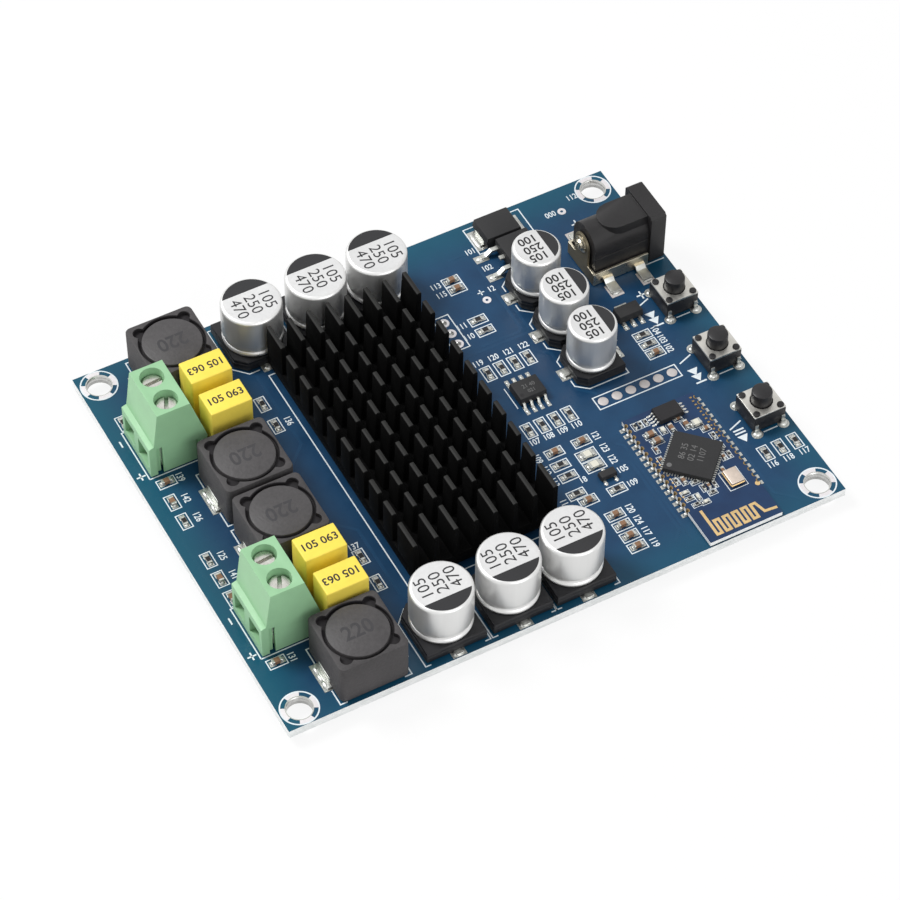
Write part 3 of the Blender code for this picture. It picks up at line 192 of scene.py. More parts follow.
# Each surface: name, display colour, roughness, metal, grain scale, change of
# colour, relief and specular share
M = {
    "mask": material("solder_mask", (17, 56, 90), 0.36, 0.0, 240, 0.1, 0.03, 0.28, light=(24, 66, 100),
                     fine=2600),
    "trace": material("mask_over_copper", (21, 63, 97), 0.34, 0.0, 400, 0.08, 0.03, 0.3),
    "module_mask": material("module_mask", (22, 46, 82), 0.34, 0.0, 320, 0.12, 0.03, 0.28,
                            light=(27, 56, 92)),
    "laminate": material("glass_laminate", (238, 243, 242), 0.6, 0.0, 1500, 0.2, 0.25, 0.3,
                         stretch=(1, 1, 5)),
    "silk": material("white_legend", (226, 234, 238), 0.55, 0.0, 3000, 0.08, 0.12, 0.5),
    "tin": material("tinned_copper", (186, 187, 182), 0.4, 0.9, 1800, 0.12, 0.12, 0.5),
    "solder": material("solder", (194, 195, 191), 0.4, 0.85, 2200, 0.2, 0.3, 0.5),
    "flat_tin": material("levelled_tin", (222, 218, 220), 0.55, 0.3, 1600, 0.06, 0.1, 0.5),
    "pad": material("header_pad", (196, 190, 188), 0.6, 0.2, 1600, 0.06, 0.1, 0.5),
    "gold": material("gold_plate", (216, 186, 134), 0.4, 0.9, 2000, 0.1, 0.1, 0.5),
    "dull_gold": material("dull_gold", (150, 128, 88), 0.5, 0.7, 2000, 0.2, 0.2, 0.5),
    "plated": material("plated_wall", (200, 200, 198), 0.38, 1.0, 1500, 0.15, 0.15, 0.5),
    "black": material("moulded_epoxy", (36, 35, 37), 0.6, 0.0, 3200, 0.22, 0.3, 0.25),
    "chip": material("chip_body", (41, 41, 42), 0.6, 0.0, 4200, 0.18, 0.28, 0.28),
    "mark": material("chip_marking", (104, 104, 104), 0.6, 0.0, 3600, 0.2, 0.1, 0.3),
    "socket": material("socket_plastic", (32, 31, 32), 0.5, 0.0, 2600, 0.18, 0.16, 0.32),
    "key": material("key_plastic", (27, 26, 28), 0.42, 0.0, 2400, 0.15, 0.12, 0.38),
    "base": material("capacitor_base", (25, 25, 28), 0.48, 0.0, 2600, 0.2, 0.16, 0.35),
    "fin": material("black_anodised", (6, 6, 6), 0.75, 0.0, 1500, 0.3, 0.2, 0.08, stretch=(1, 0.12, 1)),
    # Lighter black for the fins' rounded tips: a painted highlight.
    "fin_tip_highlight": material("black_anodised_tip_highlight", (32, 32, 31), 0.6, 0.0, 1500, 0.35, 0.2, 0.2,
                        stretch=(1, 0.2, 1)),
    "can": material("drawn_aluminium", (222, 222, 221), 0.38, 0.72, 1300, 0.03, 0.04, 0.5,
                    rough_vary=0.04, stretch=(1, 1, 0.04)),
    "can_top": material("can_face", (210, 210, 210), 0.5, 0.5, 2400, 0.04, 0.08, 0.5),
    "ink": material("black_ink", (40, 40, 42), 0.55, 0.0, 3000, 0.15, 0.08, 0.3),
    "ferrite": material("pressed_ferrite", (70, 68, 69), 0.6, 0.0, 2200, 0.24, 0.7, 0.25, rough_vary=0.12),
    "ferrite_core": material("ferrite_drum", (74, 72, 73), 0.5, 0.0, 2200, 0.18, 0.6, 0.3, rough_vary=0.12),
    # Darker ferrite for the bore round the drum: painted shade in the recess.
    "ferrite_gap_shade": material("ferrite_gap_shade", (38, 36, 38), 0.6, 0.0, 2400, 0.15, 0.2, 0.2),
    "ferrite_ink": material("ferrite_ink", (44, 43, 46), 0.45, 0.0, 2400, 0.15, 0.2, 0.5),
    "yellow": material("yellow_case", (247, 222, 90), 0.45, 0.0, 700, 0.05, 0.08, 0.35, fine=3000),
    "green": material("green_housing", (150, 196, 153), 0.45, 0.0, 500, 0.05, 0.08, 0.35, fine=3200),
    "steel": material("nickel_steel", (206, 204, 198), 0.28, 1.0, 1500, 0.12, 0.12, 0.5),
    "brass": material("nickel_on_brass", (214, 206, 186), 0.3, 1.0, 1500, 0.12, 0.12, 0.5),
    # Darker brass for the jack's rear plate: painted shade and a painted dark reflection.
    "brass_in_shade": material("shaded_brass", (128, 120, 100), 0.5, 0.8, 1500, 0.15, 0.15, 0.5),
    "cover": material("cover_plate", (200, 198, 192), 0.38, 1.0, 1400, 0.08, 0.12, 0.5,
                      stretch=(1, 0.1, 1)),
    "lid": material("crystal_lid", (206, 192, 180), 0.42, 0.9, 1600, 0.06, 0.1, 0.5),
    "ceramic": material("capacitor_ceramic", (136, 104, 80), 0.5, 0.0, 3600, 0.16, 0.2, 0.3),
    "cream": material("pale_ceramic", (222, 220, 206), 0.5, 0.0, 3600, 0.08, 0.2, 0.5),
    "small_ink": material("small_can_ink", (22, 22, 24), 0.55, 0.0, 3000, 0.15, 0.08, 0.3),
    "alumina": material("resistor_ceramic", (196, 194, 188), 0.6, 0.0, 3000, 0.1, 0.15, 0.5),
    "resist": material("resistor_film", (34, 33, 34), 0.4, 0.0, 3600, 0.2, 0.12, 0.3),
}
# Painted reflection: the mask and the copper under it turn teal towards the board's borders.
for board_key in ("mask", "trace"):
    paint_border_sheen(M[board_key], (12, 80, 102))


# Mesh helpers
def ellipse(rx, ry, z, steps):
    """Points round an ellipse at one height."""
    turns = (2 * math.pi * i / steps for i in range(steps))
    return [(rx * math.cos(t), ry * math.sin(t), z) for t in turns]


class Piece:
    """Collects shapes given in millimetres into one mesh with several materials."""

    def __init__(self):
        self.bm = bmesh.new()
        self.keys = []

    def take(self, bm, key, frame_=None, smooth=False):
        if frame_ is not None:
            bm.transform(frame_)
        if key not in self.keys:
            self.keys.append(key)
        index = self.keys.index(key)
        for face in bm.faces:
            face.material_index = index
            face.smooth = smooth
        mesh = bpy.data.meshes.new("part")
        bm.to_mesh(mesh)
        bm.free()
        self.bm.from_mesh(mesh)
        bpy.data.meshes.remove(mesh)

    def block(self, x, y, z, sx, sy, sz, key, turn=0.0, bevel=0.0, seg=1, taper=1.0):
        """A box standing on z, its edges rounded, its top drawn in by the taper."""
        bm = bmesh.new()
        bmesh.ops.create_cube(bm, size=1.0, matrix=Matrix.Diagonal((sx, sy, sz, 1)))
        for v in bm.verts:
            if v.co.z > 0:
                v.co.x *= taper
                v.co.y *= taper
        if bevel:
            bmesh.ops.bevel(bm, geom=list(bm.edges), offset=bevel, segments=seg, profile=0.5,
                            affect="EDGES", clamp_overlap=True)
        at = Matrix.Translation((x, y, z + sz / 2)) @ Matrix.Rotation(turn, 4, "Z")
        self.take(bm, key, at, bevel > 0 and seg > 1)

    def pad(self, x, y, sx, sy, key="tin", turn=0.0):
        """A solder pad on the board."""
        self.block(x, y, TOP, sx, sy, PAD_T, key, turn)

    def prism(self, points, z0, z1, key, bevel=0.0, seg=2, frame_=None):
        """An outline drawn up from z0 to z1."""
        bm = bmesh.new()
        low = [bm.verts.new((x, y, z0)) for x, y in points]
        high = [bm.verts.new((x, y, z1)) for x, y in points]
        bm.faces.new(list(reversed(low)))
        bm.faces.new(high)
        for i in range(len(points)):
            j = (i + 1) % len(points)
            bm.faces.new((low[i], low[j], high[j], high[i]))
        bmesh.ops.recalc_face_normals(bm, faces=bm.faces)
        if bevel:
            edges = [e for e in bm.edges if e.calc_face_angle(0) > math.radians(25)]
            bmesh.ops.bevel(bm, geom=edges, offset=bevel, segments=seg, profile=0.5,
                            affect="EDGES", clamp_overlap=True)
        self.take(bm, key, frame_)

    def rings(self, loops, key, cap_low=True, cap_high=True, frame_=None):
        """A smooth skin through closed rings of equal length."""
        bm = bmesh.new()
        rows = [[bm.verts.new(p) for p in loop] for loop in loops]
        n = len(rows[0])
        for a, b in zip(rows, rows[1:]):
            for i in range(n):
                bm.faces.new((a[i], a[(i + 1) % n], b[(i + 1) % n], b[i]))
        if cap_low:
            bm.faces.new(list(reversed(rows[0])))
        if cap_high:
            bm.faces.new(rows[-1])
        self.take(bm, key, frame_, True)

    def lathe(self, profile, x, y, z, key, steps=48, across=False, caps=True):
        """A turned shape: radius and height from the foot up, or towards -X."""
        loops = [ellipse(r, r, h, steps) for r, h in profile]
        at = Matrix.Translation((x, y, z))
        if across:
            at = at @ Matrix.Rotation(-QUARTER, 4, "Y")
        self.rings(loops, key, caps, caps, at)

    def strip(self, points, width, z, key, thick=FILM, closed=False):
        """A flat line of one width with mitred corners."""
        pts = [Vector(p) for p in points]
        n = len(pts)
        left, right = [], []
        for i, p in enumerate(pts):
            before = pts[i - 1] if (i > 0 or closed) else None
            after = pts[(i + 1) % n] if (i < n - 1 or closed) else None
            d1 = (p - before).normalized() if before is not None else (after - p).normalized()
            d2 = (after - p).normalized() if after is not None else d1
            along = d1 + d2
            along = along.normalized() if along.length > 1e-6 else d1
            across = Vector((-along.y, along.x))
            reach = width / 2 / max(0.35, across.dot(Vector((-d1.y, d1.x))))
            left.append(p + across * reach)
            right.append(p - across * reach)
        bm = bmesh.new()
        low = [[bm.verts.new((*q, z)) for q in side] for side in (left, right)]
        top = [[bm.verts.new((*q, z + thick)) for q in side] for side in (left, right)]
        for i in range(n if closed else n - 1):
            j = (i + 1) % n
            bm.faces.new((top[1][i], top[1][j], top[0][j], top[0][i]))
            bm.faces.new((low[0][i], top[0][i], top[0][j], low[0][j]))
            bm.faces.new((low[1][j], top[1][j], top[1][i], low[1][i]))
        self.take(bm, key)

    def ring(self, x, y, r0, r1, z, key, thick=FILM, start=0, end=360, steps=48):
        """A flat ring or part of one, angles in degrees."""
        n = max(2, int(steps * (end - start) / 360))
        bm = bmesh.new()
        rows = []
        for i in range(n + 1):
            t = math.radians(start + (end - start) * i / n)
            rows.append([bm.verts.new((x + r * math.cos(t), y + r * math.sin(t), h))
                         for r, h in ((r0, z), (r0, z + thick), (r1, z + thick), (r1, z))])
        for a, b in zip(rows, rows[1:]):
            for k in range(4):
                bm.faces.new((a[k], b[k], b[(k + 1) % 4], a[(k + 1) % 4]))
        if end - start < 360:
            bm.faces.new(rows[0])
            bm.faces.new(list(reversed(rows[-1])))
        bmesh.ops.recalc_face_normals(bm, faces=bm.faces)
        self.take(bm, key)

    def text(self, words, x, y, z, size, key, turn=0.0, thick=FILM, squeeze=0.9, weight=0.012):
        """Plain figures lying on a surface, centred on a point."""
        bm = bmesh.new()
        bm.from_mesh(figures(words, weight))
        scale = Matrix.Diagonal((size * squeeze, size, thick, 1))
        at = Matrix.Translation((x, y, z)) @ Matrix.Rotation(turn, 4, "Z") @ scale
        self.take(bm, key, at)

    def bead(self, x, y, z, rx, ry, h, key="solder", steps=14, turn=0.0):
        """A domed bead of solder."""
        loops = []
        for k in range(5):
            a = QUARTER * k / 4.6
            loops.append(ellipse(rx * math.cos(a), ry * math.cos(a), h * math.sin(a), steps))
        at = Matrix.Translation((x, y, z)) @ Matrix.Rotation(turn, 4, "Z")
        self.rings(loops, key, False, True, at)

    def lead(self, x, y, z, turn, run, rise, width, thick=0.16, foot=0.5):
        """A bent lead from a body's edge outwards, down to its foot."""
        side = [(-0.1, rise), (run * 0.28, rise), (run * 0.52, thick), (run * 0.5 + foot, thick),
                (run * 0.5 + foot, 0), (run * 0.46, 0), (run * 0.24, rise - thick), (-0.1, rise - thick)]
        outward = Matrix.Rotation(turn, 4, "Z") @ Matrix.Rotation(QUARTER, 4, "X")
        self.prism(side, -width / 2, width / 2, "tin", 0.02, 1, Matrix.Translation((x, y, z)) @ outward)

    def dot(self, x, y, z, r, key="black"):
        """A round pin-one mark."""
        self.lathe([(r, 0), (r, 0.006)], x, y, z, key, 20)

    def done(self, name, body="board", nodes=()):
        """Makes the object and hands it to its body."""
        self.bm.transform(Matrix.Scale(MM, 4))
        mesh = bpy.data.meshes.new(name)
        self.bm.to_mesh(mesh)
        self.bm.free()
        for key in self.keys:
            mesh.materials.append(M[key])
        mesh.set_sharp_from_angle(angle=math.radians(35))
        return hand_over(bpy.data.objects.new(name, mesh), body, nodes)


def hand_over(obj, body, nodes=()):
    """Links an object, lets it ride on a body and stand for its nodes."""
    bpy.context.scene.collection.objects.link(obj)
    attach(obj, body)
    if nodes:
        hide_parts(*([nodes] if isinstance(nodes, str) else nodes))
    return obj


def mesh_of_curve(curve):
    """The filled mesh of a curve or of words."""
    obj = bpy.data.objects.new("outline", curve)
    bpy.context.scene.collection.objects.link(obj)
    bpy.context.view_layer.update()
    ready = obj.evaluated_get(bpy.context.evaluated_depsgraph_get())
    mesh = bpy.data.meshes.new_from_object(ready)
    bpy.data.objects.remove(obj, do_unlink=True)
    return mesh


FIGURES = {}


def figures(words, weight):
    if (words, weight) not in FIGURES:
        curve = bpy.data.curves.new("figures", "FONT")
        curve.body = words
        curve.align_x = "CENTER"
        curve.align_y = "CENTER"
        curve.resolution_u = 3
        curve.extrude = 0.5
        curve.offset = weight
        FIGURES[(words, weight)] = mesh_of_curve(curve)
    return FIGURES[(words, weight)]


def circle(x, y, r, n):
    return [(x + r * math.cos(2 * math.pi * i / n), y + r * math.sin(2 * math.pi * i / n)) for i in range(n)]


def rectangle(x0, y0, x1, y1):
    return [(x0, y0), (x1, y0), (x1, y1), (x0, y1)]


def slab(name, outer, holes, z0, z1, keys, node):
    """A flat board with round holes: faces in the first material, cut edges in
    the second and hole walls in the third."""
    curve = bpy.data.curves.new(name, "CURVE")
    curve.dimensions = "2D"
    curve.fill_mode = "BOTH"
    curve.extrude = (z1 - z0) / 2 * MM
    for loop in [outer] + [circle(*hole) for hole in holes]:
        spline = curve.splines.new("POLY")
        spline.points.add(len(loop) - 1)
        for point, (x, y) in zip(spline.points, loop):
            point.co = (x * MM, y * MM, 0, 1)
        spline.use_cyclic_u = True
    mesh = mesh_of_curve(curve)
    mesh.materials.clear()
    for key in keys:
        mesh.materials.append(M[key])
    bm = bmesh.new()
    bm.from_mesh(mesh)
    bmesh.ops.remove_doubles(bm, verts=bm.verts, dist=1e-7)
    bmesh.ops.recalc_face_normals(bm, faces=bm.faces)
    bmesh.ops.translate(bm, verts=bm.verts, vec=(0, 0, (z0 + z1) / 2 * MM))
    for face in bm.faces:
        c = face.calc_center_median() / MM
        in_hole = any((c.x - x) ** 2 + (c.y - y) ** 2 < (r + 0.05) ** 2 for x, y, r, n in holes)
        flat = abs(face.normal.z) > 0.5
        face.material_index = 0 if flat else 2 if in_hole else 1
        face.smooth = in_hole and not flat
    bm.to_mesh(mesh)
    bm.free()
    return hand_over(bpy.data.objects.new(name, mesh), "board", node)


def softened(node, name, keys, width, body="board", angle=30, pick=None):
    """The CAD piece with its facets merged and its edges rounded. The pick rule
    gives a face the number of its material, from its middle."""
    mesh = frame["nodes"][node].data.copy()
    mesh.materials.clear()
    for key in keys:
        mesh.materials.append(M[key])
    bm = bmesh.new()
    bm.from_mesh(mesh)
    bmesh.ops.remove_doubles(bm, verts=bm.verts, dist=1e-6)
    bmesh.ops.dissolve_limit(bm, angle_limit=math.radians(0.6), verts=bm.verts, edges=bm.edges)
    bmesh.ops.recalc_face_normals(bm, faces=bm.faces)
    for face in bm.faces:
        face.smooth = True
        face.material_index = pick(face.calc_center_median() / MM) if pick else 0
    bm.to_mesh(mesh)
    bm.free()
    mesh.set_sharp_from_angle(angle=math.radians(angle))
    obj = bpy.data.objects.new(name, mesh)
    mod = obj.modifiers.new("edges", "BEVEL")
    mod.width = width * MM
    mod.segments = 2
    mod.limit_method = "ANGLE"
    mod.angle_limit = math.radians(angle)
    mod.harden_normals = True
    return hand_over(obj, body, node)


# Circuit board
def board():
    holes = [(x, y, HOLE_R, 48) for x, y in HOLES] + [(x, y, VIA_R, 16) for x, y in VIAS]
    slab("board_slab", rectangle(BOARD.x0, BOARD.y0, BOARD.x1, BOARD.y1), holes, UNDER, TOP,
         ("mask", "laminate", "plated"), "circuit_board")
    rings = Piece()
    for x, y in HOLES:
        for z in (TOP, UNDER - 0.05):
            rings.ring(x, y, HOLE_R, 2.2, z, "tin", 0.05, steps=64)
            for k in range(4):
                start = 90 * k + 65
                rings.ring(x, y, 2.2, 2.86, z, "flat_tin", 0.045, start, start + 50, 72)
        rings.ring(x, y, 2.86, 3.08, TOP, "silk", 0.05, steps=72)
    for x, y in VIAS:
        for z in (TOP, UNDER - 0.04):
            rings.ring(x, y, VIA_R, VIA_R + 0.4, z, "flat_tin", 0.04, steps=24)
    rings.done("plated_rings")


def copper():
    """Copper seen faintly through the solder mask."""
    p = Piece()
    runs = [
        [(SINK.x1 + 2.2, 6.4), (SINK.x1 + 2.2, -9.0), (SINK.x1 + 3.6, -10.6), (SINK.x1 + 5.2, -10.6)],
        [(9.2, 13.0), (20.4, 13.0), (21.0, 13.6), (21.0, 24.0)],
        [(12.3, 13.8), (19.2, 13.8), (19.9, 14.5), (19.9, 24.4)],
        [(20.6, 8.3), (21.6, 7.3), (21.6, -1.2), (23.9, -3.5)],
        [(33.0, -3.4), (34.4, -2.0), (38.6, -2.0)],
        [(39.0, -12.0), (38.2, -12.8), (38.2, -33.6), (41.4, -36.8)],
        [(21.4, -13.6), (22.4, -14.6), (22.4, -35.6)],
        [(19.4, -16.0), (21.6, -18.2), (21.6, -33.0), (19.8, -34.8)],
        [(-22.2, 25.4), (-22.2, 9.6), (-25.6, 6.2)],
        [(-22.2, -23.8), (-22.2, -9.8), (-25.6, -6.4)],
        [(-46.9, 10.6), (-46.9, -10.4)],
        [(38.8, 26.9), (40.6, 28.7), (40.6, 31.6)],
        [(16.4, 32.6), (19.2, 32.6), (20.0, 31.8), (20.0, 26.0)],
    ]
    for run in runs:
        p.strip(run, 0.5, TOP, "trace", 0.012)
    vias = [(23.4, -9.0), (22.9, -12.0), (39.9, -30.4), (44.0, -32.0), (20.9, -36.6), (-24.6, -28.0),
            (-43.4, 0.2), (-42.2, -1.6), (16.4, 24.6), (20.6, 25.4), (35.4, 17.9), (40.9, 0.2)]
    for x, y in vias:
        p.ring(x, y, 0.12, 0.3, TOP, "trace", 0.015, steps=14)
    # Wide copper areas of the lower side and the vias that carry heat down to them
    for x, y, w, d in ((SINK.x, SINK.y, 27, 46), (-33, 26, 16, 18), (-33, -26, 16, 18), (30, 22, 14, 26)):
        p.prism(rectangle(x - w / 2, y - d / 2, x + w / 2, y + d / 2), UNDER - 0.03, UNDER, "trace", 0.01, 1)
    for i in range(6):
        for j in range(9):
            x, y = SINK.x - 9.25 + 3.7 * i, SINK.y - 18 + 4.5 * j
            p.ring(x, y, 0.2, 0.42, UNDER - 0.05, "tin", 0.03, steps=12)
    p.done("copper_under_mask")


def two_ended(p, z, x, y, long, wide, high, turn, kind, margin=0.0):
    """A two-ended chip part with tinned ends and solder, on pads where a margin is given."""
    c, s = math.cos(turn), math.sin(turn)
    cap = long * 0.22

    def at(u):
        return x + u * c, y + u * s

    for side in (-1, 1):
        if margin:
            px, py = at(side * (long / 2 - cap / 2 + 0.16))
            p.block(px, py, z, cap + 0.62, wide + margin, 0.05, "tin", turn)
        ex, ey = at(side * (long / 2 - cap / 2))
        p.block(ex, ey, z + 0.03, cap, wide, high - 0.03, "tin", turn, 0.05)
        fx, fy = at(side * (long / 2 + 0.08))
        p.bead(fx, fy, z + 0.02, long * 0.18, wide / 2, high * 0.55, "solder", 10, turn)
    middle = long - 2 * cap + 0.04
    if kind == "res":
        p.block(x, y, z + 0.05, middle, wide - 0.02, high - 0.13, "alumina", turn)
        p.block(x, y, z + high - 0.09, middle - 0.02, wide - 0.1, 0.06, "resist", turn)
    else:
        p.block(x, y, z + 0.05, middle, wide - 0.04, high - 0.09, kind, turn, 0.04)


def passive_places():
    """Small parts on the board: x, y, length, width, height, turn, kind."""
    small = (1.6, 0.8, 0.45)
    tall = (1.6, 0.85, 0.8)
    broad = (2.0, 1.25, 0.6)
    right, left = SINK.x1, SINK.x0
    front = TERMINALS[0].x0 + 0.8
    half = 5.0
    out = []

    def put(x, y, size, turn, kind):
        out.append((x, y) + size + (turn, kind))

    for i in range(4):
        put(right + 5.45 + i * 2.45, 8.3, small, QUARTER, "res")
        put(right + 5.45 + i * 2.45, -5.0, small, QUARTER, "res")
        put(ROW_END + 6.25, NEAR_ROW + 6.1 - i * 2.3, tall, 0.0, "ceramic")
    for i in range(3):
        low = i == 2
        size, kind = (tall, "ceramic") if low else (small, "res")
        put(REGULATOR.x, REGULATOR_Y - 4.8 - i * 2.1, size, 0.0, kind)
        put(KEYS[0].x - 3.25 + i * 2.7, KEYS[2].y - 7.15, small, QUARTER, "res")
        size, kind = (small, "res") if low else (tall, "ceramic")
        put(front, TERM_Y[1] + half + 2.05 + i * 4.1, size, QUARTER, kind)
        if i > 0:
            put(front, TERM_Y[0] - half - 1.75 - i * 4.2, size, QUARTER, kind)
    for i in range(2):
        put(ROW_END + 6.75, FAR_ROW - 3.35 - i * 1.95, tall, 0.0, "ceramic")
        put(ROW_END + 6.55, FAR_ROW - 12.8 - i * 2.5, small, 0.0, "res")
        put(left - 4.2, TERM_Y[0] + 0.15 - i * 4.95, small, QUARTER, "res")
        put(left - 4.35, TERM_Y[1] + 4.8 - i * 5.6, small, QUARTER, "res")
        put(right + 6.45, -13.4 - i * 2.5, small, 0.0, "res")
        put(right + 11.15, -13.6 - i * 2.3, broad, 0.0, "cream")
    put(right + 6.85, -10.75, tall, 0.0, "ceramic")
    put(right + 11.7, -10.8, tall, 0.0, "ceramic")
    put(right + 5.85, -19.6, small, 0.0, "res")
    put(right + 6.85, -21.55, tall, 0.0, "ceramic")
    put(right + 11.9, -21.7, small, 0.0, "res")
    put(front, TERM_Y[0] + half + 2.05, small, QUARTER, "res")
    put(front + 0.9, TERM_Y[0] - half - 1.95, tall, 0.0, "ceramic")
    put(front + 0.7, TERM_Y[1] - half - 1.8, tall, 0.0, "ceramic")
    return out


def small_parts():
    p = Piece()
    for place in passive_places():
        two_ended(p, TOP, *place, margin=0.16)
    # The three-legged transistor
    x, y = SINK.x1 + 11.85, -18.7
    p.block(x, y, TOP + 0.1, 2.9, 1.4, 0.95, "chip", 0, 0.12, 2, 0.93)
    for dx, side in ((-0.95, -1), (0.95, -1), (0.0, 1)):
        p.block(x + dx, y + side * 0.95, TOP, 0.42, 0.7, 0.3, "tin", 0, 0.05)
        p.bead(x + dx, y + side * 1.3, TOP, 0.38, 0.4, 0.25, steps=10)
    p.done("small_parts")


def solder_side():
    """Solder cones round the tails below the board, and the filled header row."""
    p = Piece()
    tails = []
    for box, y in zip(TERMINALS, TERM_Y):
        tails += [(box.x1 - 2.2, y + side * POLE, 0.5) for side in (-1, 1)]
    for f in FILMS:
        tails += [(f.x + side * TAIL, f.y, 0.3) for side in (-1, 1)]
    for k in KEYS:
        tails += [(k.x + sx * LEG_X, k.y + sy * LEG_Y, 0.35) for sx in (-1, 1) for sy in (-1, 1)]
    for x, y, r in tails:
        cone = [(r * 0.7, 0.0), (r * 0.9, 0.06), (r, 0.5), (r * 1.15, 0.75), (r * 1.6, 1.05), (r * 2.4, 1.37)]
        p.lathe(cone, x, y, 0.0, "solder", 16)
        p.ring(x, y, r * 2.0, r * 2.7, UNDER - 0.04, "tin", 0.04, steps=24)
    for x in HEADER:
        p.lathe([(0.86, 0), (0.86, 0.04), (0.7, 0.12), (0.4, 0.16)], x, HEADER_Y, TOP, "pad", 28)
        p.lathe([(0.5, -0.08), (0.86, -0.04), (0.86, 0)], x, HEADER_Y, UNDER, "flat_tin", 28)
    for x, y in ((17.94, 22.15), (38.2, 33.4)):
        p.ring(x, y, 0.25, 0.72, TOP, "flat_tin", 0.04, steps=28)
    p.done("solder_side")


